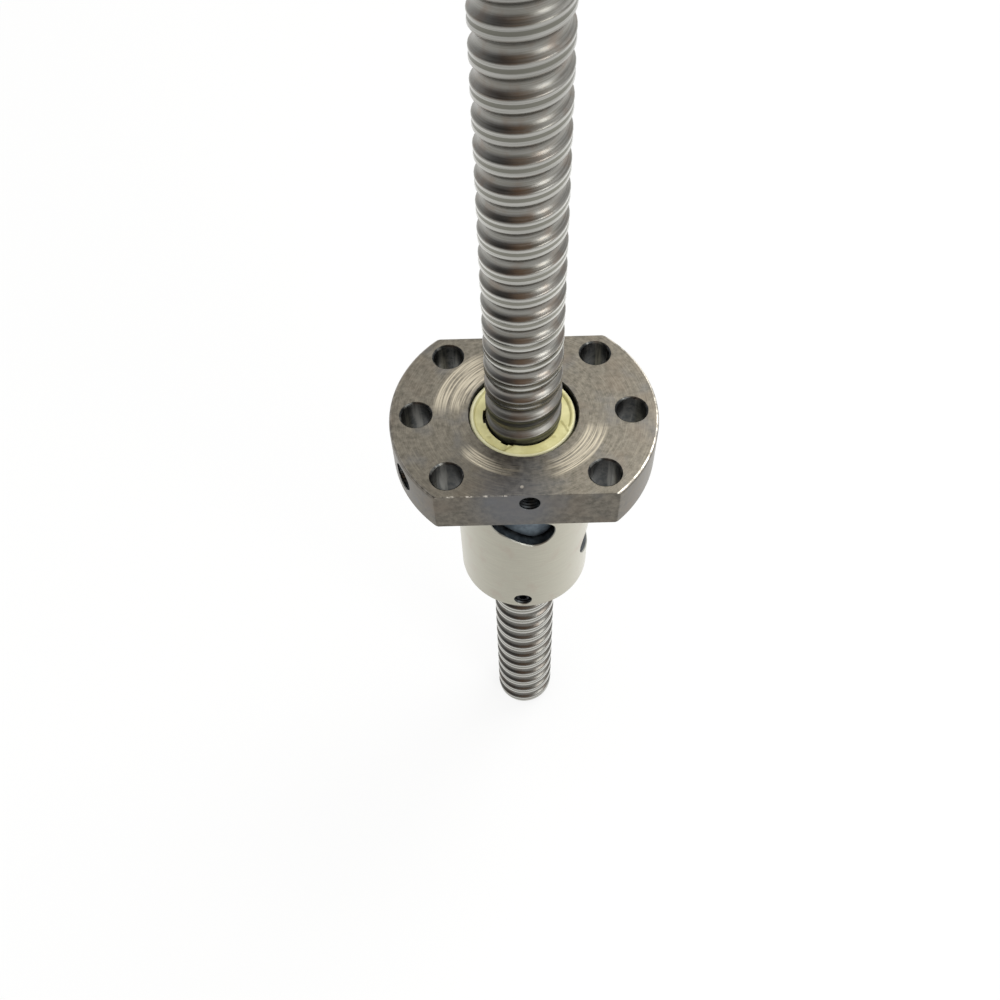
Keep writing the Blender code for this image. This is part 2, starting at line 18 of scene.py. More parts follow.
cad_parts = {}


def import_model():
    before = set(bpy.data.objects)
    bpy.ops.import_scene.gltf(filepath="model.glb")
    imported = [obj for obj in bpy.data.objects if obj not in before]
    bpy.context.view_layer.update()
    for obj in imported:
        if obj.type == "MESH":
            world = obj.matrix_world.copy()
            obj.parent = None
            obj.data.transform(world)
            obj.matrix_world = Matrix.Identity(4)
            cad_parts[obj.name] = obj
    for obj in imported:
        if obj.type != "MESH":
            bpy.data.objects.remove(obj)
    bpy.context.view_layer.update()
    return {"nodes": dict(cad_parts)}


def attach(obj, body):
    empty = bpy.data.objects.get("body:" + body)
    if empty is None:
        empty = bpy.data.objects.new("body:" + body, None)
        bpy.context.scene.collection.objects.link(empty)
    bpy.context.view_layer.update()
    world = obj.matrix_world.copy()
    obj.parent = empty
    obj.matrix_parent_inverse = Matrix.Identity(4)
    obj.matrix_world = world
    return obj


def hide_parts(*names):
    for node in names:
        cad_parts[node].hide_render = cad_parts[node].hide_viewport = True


LOG = logging.getLogger("ball_screw")

MM = 0.001
TO_MM = 1000.0
UP = Vector((0.0, 0.0, 1.0))
FLATTENED = Vector((1.0, 1.0, 0.0))
# Vertices nearer to each other than this are one
WELD = 0.0005 * MM
# Edges sharper than this are shaded sharp
SHARP_ANGLE = math.radians(32.0)
# How far a part of a ring goes round with each facet
FACET_ANGLE = math.radians(4.0)
# The most that a weighted normal follows the largest face beside it
FLATTEST = 100
# Below this a face doesn't point away from the screw's axis
LEVEL = 1e-6

Profile = list[tuple[float, float]]
Place = tuple[float, float, float]
Finishes = Sequence[bpy.types.Material]
Socket = bpy.types.NodeSocket
Input = Socket | float


class Body(Enum):
    """The bodies that pieces ride on."""

    SCREW = "screw"
    RING = "travel_ring"
    NUT = "nut"


class NutFinish(Enum):
    """Places of the finishes in the nut's list of materials."""

    FLANGE = 0
    BODY = 1
    BORE = 2


# --------------------------------------------------------------------------------------------------
# Meshes
# --------------------------------------------------------------------------------------------------


def spun(shape: bmesh.types.BMesh, geometry: list, sweep: float, steps: int, rise: float = 0.0) -> None:
    """Spin an outline about the Z axis.

    Args:
        shape: The shape that the outline is in.
        geometry: The outline's vertices and edges.
        sweep: How far it turns. A full turn without a rise closes on itself.
        steps: How many facets go round.
        rise: How far it climbs with each step.
    """
    bmesh.ops.spin(
        shape, geom=geometry, cent=(0.0, 0.0, 0.0), axis=UP, dvec=UP * rise, angle=sweep, steps=steps,
        use_merge=sweep == math.tau and rise == 0.0,
    )


def whole(shape: bmesh.types.BMesh) -> list:
    """All the vertices, edges and faces of a shape."""
    return shape.verts[:] + shape.edges[:] + shape.faces[:]


def rims(shape: bmesh.types.BMesh) -> list[bmesh.types.BMEdge]:
    """A shape's open edges."""
    return [edge for edge in shape.edges if edge.is_boundary]


def split(shape: bmesh.types.BMesh, point: Place, facing: Place, clear: bool = False) -> None:
    """Cut a shape's faces along a plane.

    Args:
        shape: The shape.
        point: A place on the plane.
        facing: The plane's normal.
        clear: Whether what lies beyond the plane goes.
    """
    bmesh.ops.bisect_plane(
        shape, geom=whole(shape), dist=WELD, plane_co=point, plane_no=facing, clear_outer=clear,
    )


def outlined(shape: bmesh.types.BMesh, profile: Profile, closed: bool) -> list:
    """Draw a profile's vertices and edges where the azimuth is 0, and return them."""
    knots = [shape.verts.new((radius, 0.0, height)) for radius, height in profile]
    ends = knots[1:] + knots[:1] if closed else knots[1:]
    return knots + [shape.edges.new(pair) for pair in zip(knots, ends)]


def turned(profile: Profile, steps: int) -> bmesh.types.BMesh:
    """Spin a profile right round the Z axis.

    Args:
        profile: (radius, height) points, closed on themselves, or starting and ending on the axis.
        steps: How many facets go round.

    Returns:
        The closed turned shape.
    """
    shape = bmesh.new()
    spun(shape, outlined(shape, profile, closed=profile[0][0] > 0.0), math.tau, steps)
    bmesh.ops.remove_doubles(shape, verts=shape.verts, dist=WELD)
    bmesh.ops.recalc_face_normals(shape, faces=shape.faces)
    return shape


def part_turned(profile: Profile, start: float, sweep: float) -> bmesh.types.BMesh:
    """Spin a closed profile part of the way round the Z axis.

    Args:
        profile: (radius, height) points, closed on themselves.
        start: Azimuth that the shape starts at.
        sweep: How far round it goes.

    Returns:
        The closed shape, a part of a ring.
    """
    shape = bmesh.new()
    outline = outlined(shape, profile, closed=True)
    moved(shape, Matrix.Rotation(start, 4, "Z"))
    spun(shape, outline, sweep, math.ceil(sweep / FACET_ANGLE))
    bmesh.ops.holes_fill(shape, edges=rims(shape), sides=len(profile))
    bmesh.ops.recalc_face_normals(shape, faces=shape.faces)
    return shape


def moved(shape: bmesh.types.BMesh, matrix: Matrix) -> bmesh.types.BMesh:
    """Move a whole shape by a matrix, and return it."""
    bmesh.ops.transform(shape, matrix=matrix, verts=shape.verts)
    return shape


def pulled_apart(shape: bmesh.types.BMesh, spacing: float, steps: int) -> bmesh.types.BMesh:
    """Pull the halves of a turned shape apart along X, which makes it obround.

    Args:
        shape: A shape turned with an even number of steps.
        spacing: Distance between the centres of the two round ends.
        steps: How many facets the shape has round it.

    Returns:
        The same shape, pulled apart.
    """
    moved(shape, Matrix.Rotation(math.pi / steps, 4, "Z"))
    for vert in shape.verts:
        if abs(vert.co.x) > WELD:
            vert.co.x += math.copysign(spacing / 2, vert.co.x)
    return shape


def sliced(shape: bmesh.types.BMesh, reach: float, spacing: float) -> bmesh.types.BMesh:
    """Cut a shape's faces at even places along X, so that it can bend round the nut.

    Args:
        shape: The shape.
        reach: How far from the middle the cuts go, both ways.
        spacing: Distance between cuts.

    Returns:
        The same shape, with more edges.
    """
    count = int(reach / spacing)
    for step in range(-count, count + 1):
        split(shape, (step * spacing, 0.0, 0.0), (1.0, 0.0, 0.0))
    return shape


def wrapped(shape: bmesh.types.BMesh, radius: float, above: float = 0.0) -> bmesh.types.BMesh:
    """Bend a shape's outer part round the screw's axis: X runs round it, Y along it and Z outwards.

    Args:
        shape: The shape, whose flat outer faces turn into parts of cylinders.
        radius: Where the bend keeps its depth.
        above: Only what is further out than this is bent.

    Returns:
        The same shape, bent.
    """
    for vert in shape.verts:
        if vert.co.z > above:
            vert.co.z -= radius - math.sqrt(radius ** 2 - vert.co.x ** 2)
    return shape


def radial_place(azimuth: float, height: float) -> Matrix:
    """Matrix from X round the screw, Y up and Z outwards to the world, at an azimuth and a height."""
    outwards = Vector((math.cos(azimuth), math.sin(azimuth), 0.0))
    turn = Matrix((UP.cross(outwards), UP, outwards)).transposed().to_4x4()
    return Matrix.Translation((0.0, 0.0, height)) @ turn


def swept(points: Sequence[Vector], radius: float, sides: int) -> bmesh.types.BMesh:
    """A round bar along a line of points, closed at both ends.

    Args:
        points: Where the bar's middle runs.
        radius: The bar's radius.
        sides: How many facets go round it.

    Returns:
        The closed bar.
    """
    shape = bmesh.new()
    heading = (points[1] - points[0]).normalized()
    start = Matrix.Translation(points[0]) @ heading.to_track_quat("Z", "Y").to_matrix().to_4x4()
    bmesh.ops.create_circle(shape, cap_ends=True, segments=sides, radius=radius, matrix=start)
    rim = shape.edges[:]
    for number in range(1, len(points)):
        ahead = points[min(number + 1, len(points) - 1)]
        turned_heading = (ahead - points[number - 1]).normalized()
        grown = bmesh.ops.extrude_edge_only(shape, edges=rim)["geom"]
        rim = [part for part in grown if isinstance(part, bmesh.types.BMEdge) and part.is_boundary]
        verts = list({vert for edge in rim for vert in edge.verts})
        turn = heading.rotation_difference(turned_heading).to_matrix().to_4x4()
        step = Matrix.Translation(points[number]) @ turn @ Matrix.Translation(-points[number - 1])
        bmesh.ops.transform(shape, matrix=step, verts=verts)
        heading = turned_heading
    bmesh.ops.edgeloop_fill(shape, edges=rim)
    bmesh.ops.recalc_face_normals(shape, faces=shape.faces)
    return shape


def placed(name: str, shape: bmesh.types.BMesh, finishes: Finishes) -> bpy.types.Object:
    """Make an object of a shape.

    Args:
        name: The object's name.
        shape: The shape, which is used up.
        finishes: Its materials, in the order of its faces' material indices.

    Returns:
        The object, at the origin.
    """
    mesh = bpy.data.meshes.new(name)
    shape.to_mesh(mesh)
    shape.free()
    for finish in finishes:
        mesh.materials.append(finish)
    piece = bpy.data.objects.new(name, mesh)
    bpy.context.scene.collection.objects.link(piece)
    return piece


def applied(piece: bpy.types.Object) -> bpy.types.Object:
    """Apply a piece's modifiers to its mesh."""
    graph = bpy.context.evaluated_depsgraph_get()
    mesh = bpy.data.meshes.new_from_object(piece.evaluated_get(graph))
    rough = piece.data
    piece.modifiers.clear()
    piece.data = mesh
    bpy.data.meshes.remove(rough)
    mesh.name = piece.name
    return piece


def settled(piece: bpy.types.Object) -> bpy.types.Object:
    """Apply a piece's modifiers, and shade it smooth but for its sharp edges."""
    applied(piece)
    piece.data.shade_smooth()
    piece.data.set_sharp_from_angle(angle=SHARP_ANGLE)
    return piece


def carved(piece: bpy.types.Object, cutters: Sequence[bpy.types.Object]) -> bpy.types.Object:
    """Take each cutter's space out of a piece in turn, and remove the cutters.

    Args:
        piece: The piece.
        cutters: Closed shapes. The faces that they make take their materials.

    Returns:
        The piece, cut.

    Raises:
        RuntimeError: If nothing is left of the piece.
    """
    for cutter in cutters:
        step = piece.modifiers.new(cutter.name, "BOOLEAN")
        step.operation = "DIFFERENCE"
        step.solver = "MANIFOLD"
        step.object = cutter
        step.material_mode = "TRANSFER"
    settled(piece)
    if not piece.data.polygons:
        raise RuntimeError("%s was cut away altogether" % piece.name)
    for cutter in cutters:
        bpy.data.objects.remove(cutter, do_unlink=True)
    return piece


def evened(piece: bpy.types.Object) -> bpy.types.Object:
    """Weight a piece's normals by area, so that flat faces stay flat beside their rounded edges."""
    step = piece.modifiers.new("Even shading", "WEIGHTED_NORMAL")
    step.keep_sharp = True
    step.weight = FLATTEST
    return applied(piece)


# --------------------------------------------------------------------------------------------------
# Finishes
# --------------------------------------------------------------------------------------------------


def linear(hex_colour: str) -> tuple[float, float, float, float]:
    """Turn an sRGB colour such as "#8C8780" into linear red, green, blue and full alpha."""
    values = [int(hex_colour[place:place + 2], 16) / 255.0 for place in (1, 3, 5)]
    red, green, blue = (
        value / 12.92 if value <= 0.04045 else ((value + 0.055) / 1.055) ** 2.4 for value in values
    )
    return red, green, blue, 1.0


class Nodes:
    """Adds nodes to one tree, and gives back their sockets."""

    def __init__(self, tree: bpy.types.NodeTree) -> None:
        """Keep the tree that the nodes go into."""
        self.tree = tree

    def node(self, kind: str, inputs: dict | None = None, **settings) -> bpy.types.Node:
        """Add a node with its settings and links.

        Args:
            kind: The node's type, without "ShaderNode".
            inputs: For an input's name or number, the socket that it is linked to or its value.
            settings: The node's own settings.

        Returns:
            The node.
        """
        node = self.tree.nodes.new("ShaderNode" + kind)
        for name, value in settings.items():
            setattr(node, name, value)
        for key, value in (inputs or {}).items():
            if isinstance(value, Socket):
                self.tree.links.new(value, node.inputs[key])
            else:
                node.inputs[key].default_value = value
        return node

    def maths(self, operation: str, *values: Input) -> Socket:
        """The result of one operation on sockets or numbers."""
        return self.node("Math", dict(enumerate(values)), operation=operation).outputs[0]

    def chained(self, operation: str, first: Input, *others: Input) -> Input:
        """The result of one operation on the first two values, then on that and the next, and so on."""
        for other in others:
            first = self.maths(operation, first, other)
        return first

    def times(self, *values: Input) -> Socket:
        """The product of sockets or numbers."""
        return self.chained("MULTIPLY", *values)

    def plus(self, *values: Input) -> Socket:
        """The sum of sockets or numbers."""
        return self.chained("ADD", *values)

    def most(self, *values: Input) -> Socket:
        """The largest of sockets or numbers."""
        return self.chained("MAXIMUM", *values)

    def vector(self, operation: str, *values: object, **named: object) -> Socket:
        """The vector that one operation on vectors gives."""
        inputs = {**dict(enumerate(values)), **named}
        return self.node("VectorMath", inputs, operation=operation).outputs[0]

    def measure(self, operation: str, *values: object) -> Socket:
        """The number that one operation on vectors gives."""
        return self.node("VectorMath", dict(enumerate(values)), operation=operation).outputs["Value"]

    def ramp(
        self, value: Input, low: float, high: float, start: float = 0.0, stop: float = 1.0,
    ) -> Socket:
        """A smooth step from start to stop as a value goes from low to high."""
        inputs = {"Value": value, "From Min": low, "From Max": high, "To Min": start, "To Max": stop}
        return self.node("MapRange", inputs, interpolation_type="SMOOTHSTEP").outputs[0]

    def blend(self, factor: Input, first: object, second: object) -> Socket:
        """A colour between two, which are sockets, linear values or sRGB hex values."""
        colours = [linear(colour) if isinstance(colour, str) else colour for colour in (first, second)]
        inputs = {0: factor, 6: colours[0], 7: colours[1]}
        return self.node("Mix", inputs, data_type="RGBA").outputs[2]


class Pattern(Nodes):
    """One material's places on its piece, in millimetres, and what varies there."""

    def __init__(self, tree: bpy.types.NodeTree) -> None:
        """Read the piece's own coordinates, in millimetres and round the screw's axis."""
        super().__init__(tree)
        self.place = self.vector("SCALE", self.node("TexCoord").outputs["Object"], Scale=TO_MM)
        self.x, self.y, self.z = self.node("SeparateXYZ", {0: self.place}).outputs
        self.flat = self.vector("MULTIPLY", self.place, FLATTENED)
        self.radius = self.measure("LENGTH", self.flat)
        self.azimuth = self.maths("ARCTAN2", self.y, self.x)

    def along(self, x: Input, y: Input, z: Input) -> Socket:
        """A vector of three sockets or numbers."""
        return self.node("CombineXYZ", {0: x, 1: y, 2: z}).outputs[0]

    def noise(self, place: Socket, size: float, detail: float = 3.0, rough: float = 0.55) -> Socket:
        """Noise from 0 to 1 whose lumps have a size in the place's own unit."""
        inputs = {"Vector": place, "Scale": 1.0 / size, "Detail": detail, "Roughness": rough}
        return self.node("TexNoise", inputs).outputs[0]

    def away(self, place: Place) -> Socket:
        """Distance from a place, in millimetres."""
        return self.measure("DISTANCE", self.place, place)

    def apart(self, start: tuple[float, float], stop: tuple[float, float]) -> Socket:
        """Distance, seen from above, from the straight line between two (x, y) places, in millimetres."""
        first = Vector((*start, 0.0))
        line = Vector((*stop, 0.0)) - first
        from_first = self.vector("SUBTRACT", self.flat, first)
        share = self.measure("DOT_PRODUCT", from_first, line / line.length_squared)
        share = self.node("Clamp", {0: share}).outputs[0]
        return self.measure("DISTANCE", from_first, self.vector("SCALE", line, Scale=share))

    def circled(self, turn: Socket, lumps: float, height: Input) -> Socket:
        """A place that draws a circle as a turn goes round, with this many units to its radius."""
        across = self.times(self.maths("COSINE", turn), lumps)
        upwards = self.times(self.maths("SINE", turn), lumps)
        return self.along(across, upwards, height)

    def turning_marks(self, across: float, length: float, height: Socket) -> Socket:
        """Noise drawn out round the axis: fine across, in units of height, and long round it.

        Args:
            across: How fine the marks are, in millimetres.
            length: How many lumps there are to the radius of a turn.
            height: The socket that the marks are fine in, in millimetres.

        Returns:
            Noise from 0 to 1.
        """
        rows = self.maths("DIVIDE", height, across)
        return self.noise(self.circled(self.azimuth, length, rows), 1.0, 2.0)

    def bump(self, height: Input, depth: float, strength: float) -> Socket:
        """A normal from a height from 0 to 1, which stands for a depth in metres."""
        inputs = {"Strength": strength, "Distance": depth, "Height": height}
        return self.node("Bump", inputs).outputs[0]


@dataclass(frozen=True)
class Finish:
    """A surface, named for what the real one is and how it was made.

    A finish's lengths are in millimetres, as its pattern's places are, but its relief is in metres.
    """

    name: str
    metallic: float = 1.0
    relief: float = 0.01 * MM
    relief_strength: float = 0.4

    def material(self) -> bpy.types.Material:
        """The finish's material, made the first time that it is asked for."""
        found = bpy.data.materials.get(self.name)
        if found:
            return found
        made = bpy.data.materials.new(self.name)
        made.use_nodes = True
        shader = made.node_tree.nodes["Principled BSDF"]
        shader.inputs["Metallic"].default_value = self.metallic
        self.draw(Pattern(made.node_tree), shader)
        return made

    def draw(self, pattern: Pattern, shader: bpy.types.Node) -> None:
        """Lay the finish's colours, roughness and relief on the shader."""
        raise NotImplementedError

    def lay(
        self, pattern: Pattern, shader: bpy.types.Node, colour: Socket, roughness: Socket, height: Socket,
    ) -> None:
        """Link a colour, a roughness and the relief of a height from 0 to 1 to the shader."""
        normal = pattern.bump(height, self.relief, self.relief_strength)
        for name, socket in (("Base Color", colour), ("Roughness", roughness), ("Normal", normal)):
            pattern.tree.links.new(socket, shader.inputs[name])


@dataclass(frozen=True)
class RolledThreadSteel(Finish):
    """Hardened bearing steel, cold rolled: bright shoulders, long marks along the helix, an oily groove.

    Edges and cores on the thread are cosines of the turn from the middle of its land. The groove, the strip
    between the shoulders and a band above the nut are drawn darker, partly as painted shade.
    """

    name: str = "cold_rolled_thread"
    relief: float = 0.012 * MM
    relief_strength: float = 0.5
    lead: float = 4.0
    land_turn: float = math.radians(235.5)
    # A circle of 4.2 units to the radius goes over one lead, so a mark is about 0.15 mm wide
    marks_in_lead: float = 4.2
    marks_along: float = 0.9
    # The strip of land that the rolls don't quite close, 0.5 mm wide, is drawn darker, partly as painted
    # shade in its shallow dip
    seam_edge: float = 0.88
    seam_core: float = 0.95
    # The groove starts on the shoulder, 0.7 mm from the middle of the land, and its colours are partly
    # painted shade
    groove_edge: float = 0.56
    groove_core: float = 0.38
    bright: str = "#CBCAC4"
    grey: str = "#A9A8A2"
    # Colour of the strip between the shoulders: its own tone, darkened partly with painted shade
    seam_shade: str = "#7E7D72"
    # The groove's colours: oily steel, darkened partly with painted shade in the recess
    groove_pale_shaded: str = "#93928D"
    groove_grey_shaded: str = "#7C7A73"
    oil: str = "#7F7064"
    # Colour of the dark band above the nut: partly grease film, partly painted shade
    film: str = "#4A4D50"
    # The dark band, partly a dried grease film and partly painted shade by the nut, reaches from inside the
    # nut at rest to 8 mm above it
    nut_top: float = 93.6
    band_start: float = -5.0
    band_full: tuple[float, float] = (-1.0, 4.0)
    band_stop: float = 8.0
    # The lands grow darker and rougher upwards, from the first height to the second
    dimming_start: float = 105.0
    dimming_end: float = 185.0
    dimmest_share: float = 0.54
    # Low on the screw the groove is darker: fully so below the first height, not at all above the second
    dimmest_groove_height: float = 40.0
    undimmed_groove_height: float = 60.0
    dimmest_groove_share: float = 0.68

    def draw(self, pattern: Pattern, shader: bpy.types.Node) -> None:
        """Marks follow the helix: a point's turn is the same all along one land."""
        rise = pattern.times(pattern.z, math.tau / self.lead)
        turn = pattern.maths("SUBTRACT", rise, pattern.azimuth)
        height = pattern.times(pattern.z, self.marks_along)
        marks = pattern.noise(pattern.circled(turn, self.marks_in_lead, height), 1.0)
        patches = pattern.noise(pattern.place, 2.4, 4.0)
        land = pattern.maths("COSINE", pattern.maths("SUBTRACT", turn, self.land_turn))
        steel = pattern.blend(pattern.ramp(marks, 0.3, 0.7), self.grey, self.bright)
        # The strip between the shoulders, darkened partly with painted shade
        seam_shade = pattern.ramp(land, self.seam_edge, self.seam_core, 0.0, 0.85)
        steel = pattern.blend(seam_shade, steel, self.seam_shade)
        # The lands darken towards the top
        dimming = pattern.ramp(pattern.z, self.dimming_start, self.dimming_end, 1.0, self.dimmest_share)
        steel = pattern.vector("SCALE", steel, Scale=dimming)
        # A dark band by the nut: partly grease film, partly painted shade
        film = self.film_and_shade(pattern)
        steel = pattern.blend(film, steel, self.film)
        # The groove's oily colour, darkened partly with painted shade in the recess
        groove = pattern.ramp(land, self.groove_edge, self.groove_core)
        wear_and_painted_light = pattern.blend(pattern.ramp(marks, 0.3, 0.7), self.groove_grey_shaded, self.groove_pale_shaded)
        wear_and_painted_light = pattern.blend(pattern.ramp(patches, 0.45, 0.7, 0.0, 0.5), wear_and_painted_light, self.oil)
        # The groove darkens towards the bottom
        groove_dimming = pattern.ramp(pattern.z, self.dimmest_groove_height, self.undimmed_groove_height, self.dimmest_groove_share, 1.0)
        wear_and_painted_light = pattern.vector("SCALE", wear_and_painted_light, Scale=groove_dimming)
        colour = pattern.blend(groove, steel, wear_and_painted_light)
        rough = pattern.ramp(marks, 0.25, 0.8, 0.17, 0.28)
        dull = pattern.most(pattern.times(seam_shade, 0.14), pattern.times(groove, 0.1))
        top_roughening = pattern.ramp(pattern.z, self.dimming_start, self.dimming_end, 0.0, 0.12)
        dull = pattern.plus(dull, top_roughening, pattern.times(film, 0.16))
        self.lay(pattern, shader, colour, pattern.plus(rough, dull), marks)

    def film_and_shade(self, pattern: Pattern) -> Socket:
        """How strong the dark band above the wiper is, from 0 to 0.8: partly a dried grease film, partly
        painted shade.
        """
        full_low, full_high = self.band_full
        film = pattern.ramp(pattern.z, self.nut_top + self.band_stop, self.nut_top + full_high, 0.0, 0.8)
        below = pattern.ramp(pattern.z, self.nut_top + self.band_start, self.nut_top + full_low)
        return pattern.times(film, below)


@dataclass(frozen=True)
class HeatScaledSteel(Finish):
    """Turned alloy steel with a thin brown-grey hardening scale: mottled, with turning marks that carry a
    painted highlight.
    """

    name: str = "hardening_scale"
    relief: float = 0.02 * MM
    dark: str = "#5B574F"
    pale: str = "#827C71"
    blue: str = "#676B72"
    brown: str = "#74695D"
    # Colour of the painted highlight along the turning marks
    marks_sheen: str = "#C9BFAB"
    scratch: str = "#38332F"
    # Pale steel: worn through at the chips and the nick, and a painted highlight on the rim's chamfer
    bare_and_highlight: str = "#E9E2D6"
    top: float = 93.6
    rim: float = 20.0
    half_width: float = 15.0
    tint_place: Place = (-1.5, -15.0, 90.5)
    nick_place: Place = (-0.6, -13.5, 93.6)
    # The chips lie in a row on the front flat's edge
    chip_start: float = -12.0
    chip_stop: float = -3.0
    chip_spacing: float = 2.6
    chip_fade: float = 0.4
    # Facing marks are about 0.12 mm apart, and the swirls' are drawn wider so that they show
    swirl_marks: float = 0.22
    facing_marks: float = 0.12
    # Each swirl, a patch of turning marks with a painted highlight: azimuth and spread in degrees, inner
    # and outer radius in millimetres, strength
    swirls: tuple[tuple[float, float, float, float, float], ...] = (
        (148.0, 36.0, 8.3, 13.8, 0.8),
        (-119.0, 30.0, 9.5, 12.2, 0.85),
        (-43.0, 36.0, 9.3, 13.0, 0.66),
    )

    def draw(self, pattern: Pattern, shader: bpy.types.Node) -> None:
        """Mottle everywhere, swirls with a painted highlight where the tool faced the top, and pale knocked
        edges with a painted highlight on the rim's chamfer.
        """
        mottle = pattern.noise(pattern.place, 0.9, 6.0, 0.68)
        clouds = pattern.noise(pattern.place, 6.0, 3.0)
        tint = pattern.noise(pattern.vector("ADD", pattern.place, (31.0, 7.0, 3.0)), 5.0, 2.0)
        steel = pattern.blend(pattern.ramp(mottle, 0.3, 0.72), self.dark, self.pale)
        steel = pattern.blend(pattern.ramp(tint, 0.5, 0.75, 0.0, 0.35), steel, self.blue)
        steel = pattern.blend(pattern.ramp(clouds, 0.5, 0.72, 0.0, 0.4), steel, self.brown)
        tinted = pattern.ramp(pattern.away(self.tint_place), 8.5, 2.0, 0.0, 0.6)
        steel = pattern.blend(tinted, steel, self.blue)
        face = pattern.ramp(pattern.z, self.top - 0.06, self.top - 0.03)
        marks = pattern.turning_marks(self.swirl_marks, 1.5, pattern.radius)
        fine = pattern.turning_marks(self.facing_marks, 5.0, pattern.radius)
        swirl = pattern.times(self.swirled(pattern), face)
        # A painted highlight along the turning marks: strong in the swirls, faint over the whole top face
        lit = pattern.times(swirl, pattern.ramp(marks, 0.4, 0.6, 0.16, 1.0))
        everywhere = pattern.times(face, pattern.ramp(fine, 0.45, 0.7, 0.0, 0.12))
        steel = pattern.blend(pattern.most(lit, everywhere), steel, self.marks_sheen)
        cut = pattern.times(swirl, pattern.ramp(marks, 0.38, 0.3, 0.0, 0.8))
        steel = pattern.blend(cut, steel, self.scratch)
        # Pale where handling wore through, and a painted highlight on the rim's chamfer
        wear_and_painted_light = self.wear_and_painted_light(pattern)
        colour = pattern.blend(wear_and_painted_light, steel, self.bare_and_highlight)
        rough = pattern.ramp(mottle, 0.25, 0.75, 0.34, 0.5)
        rough = pattern.maths("SUBTRACT", rough, pattern.times(pattern.most(lit, wear_and_painted_light), 0.12))
        self.lay(pattern, shader, colour, rough, pattern.plus(mottle, pattern.times(marks, swirl)))

    def swirled(self, pattern: Pattern) -> Socket:
        """How strong the swirls are, from 0 to 1: where the turning marks carry a painted highlight."""
        bands = []
        for azimuth, spread, inner, outer, strength in self.swirls:
            turn = pattern.maths("SUBTRACT", pattern.azimuth, math.radians(azimuth))
            edge, core = math.cos(math.radians(spread)), math.cos(math.radians(spread / 3))
            window = pattern.ramp(pattern.maths("COSINE", turn), edge, core, 0.0, strength)
            rising = pattern.ramp(pattern.radius, inner, inner + 0.6)
            falling = pattern.ramp(pattern.radius, outer, outer - 0.7)
            bands.append(pattern.times(rising, window, falling))
        return pattern.most(*bands)

    def wear_and_painted_light(self, pattern: Pattern) -> Socket:
        """Where the steel shows pale: a painted highlight on the rim's chamfer, and chips on one edge and a
        nick on top that handling wore through.
        """
        high = pattern.ramp(pattern.z, self.top - 0.24, self.top - 0.1)
        broken = pattern.ramp(pattern.noise(pattern.place, 1.4, 3.0), 0.36, 0.56, 0.15, 0.75)
        chamfer = pattern.ramp(pattern.radius, self.rim - 0.42, self.rim - 0.32)
        # The chamfer's pale colour is a painted highlight, stronger on the right where the light falls
        rim = pattern.times(chamfer, broken, pattern.ramp(pattern.x, -6.0, 12.0, 0.3, 1.0))
        row = pattern.maths("SUBTRACT", pattern.x, self.chip_stop)
        spots = pattern.maths("COSINE", pattern.times(row, math.tau / self.chip_spacing))
        ragged = pattern.ramp(pattern.noise(pattern.place, 0.5, 2.0), 0.42, 0.56)
        after = pattern.ramp(pattern.x, self.chip_stop + self.chip_fade, self.chip_stop)
        before = pattern.ramp(pattern.x, self.chip_start - self.chip_fade, self.chip_start)
        edge = pattern.ramp(pattern.y, 0.22 - self.half_width, 0.08 - self.half_width)
        chips = pattern.times(pattern.ramp(spots, 0.0, 0.9, 0.1, 0.7), ragged, after, before, edge)
        nick = pattern.ramp(pattern.away(self.nick_place), 0.34, 0.12, 0.0, 0.8)
        return pattern.most(pattern.times(pattern.most(rim, chips), high), nick)


@dataclass(frozen=True)
class GroundSteel(Finish):
    """Cylindrically ground steel: pale, with fine rings round it and faint stains."""

    name: str = "ground_cylinder"
    relief: float = 0.006 * MM
    pale: str = "#B9B6A7"
    grey: str = "#ACA99B"
    stain: str = "#AC9F92"

    def draw(self, pattern: Pattern, shader: bpy.types.Node) -> None:
        """Grinding rings are far finer than they are drawn here, 0.1 mm, so that they show."""
        rings = pattern.turning_marks(0.1, 3.0, pattern.z)
        clouds = pattern.noise(pattern.place, 3.5, 3.0)
        steel = pattern.blend(pattern.ramp(rings, 0.3, 0.7), self.grey, self.pale)
        colour = pattern.blend(pattern.ramp(clouds, 0.52, 0.75, 0.0, 0.5), steel, self.stain)
        rough = pattern.ramp(rings, 0.3, 0.7, 0.3, 0.4)
        self.lay(pattern, shader, colour, rough, rings)


@dataclass(frozen=True)
class DrilledSteel(Finish):
    """The walls of drilled and milled holes: dark, oily, with feed rings."""

    name: str = "drilled_walls"
    dark: str = "#363838"
    pale: str = "#6C6B67"
    streak: str = "#8A8983"
    # How far the drill turned, in radians, for each millimetre that it went in
    feed_turn: float = 25.0

    def draw(self, pattern: Pattern, shader: bpy.types.Node) -> None:
        """A drill's feed leaves rings 0.25 mm apart, broken by noise."""
        wobble = pattern.times(pattern.noise(pattern.place, 1.5), 1.2)
        feed = pattern.maths("SINE", pattern.plus(pattern.times(pattern.z, self.feed_turn), wobble))
        patches = pattern.noise(pattern.place, 0.9, 4.0)
        mixed = pattern.times(pattern.ramp(feed, -1.0, 1.0), pattern.ramp(patches, 0.35, 0.65))
        colour = pattern.blend(mixed, self.dark, self.pale)
        # The drill's margins burnish the wall in streaks about a millimetre wide, down the whole hole
        streaks = pattern.noise(pattern.vector("MULTIPLY", pattern.place, (1.0, 1.0, 0.1)), 1.2, 2.0)
        colour = pattern.blend(pattern.ramp(streaks, 0.5, 0.66, 0.0, 0.6), colour, self.streak)
        rough = pattern.ramp(patches, 0.3, 0.7, 0.28, 0.45)
        self.lay(pattern, shader, colour, rough, feed)


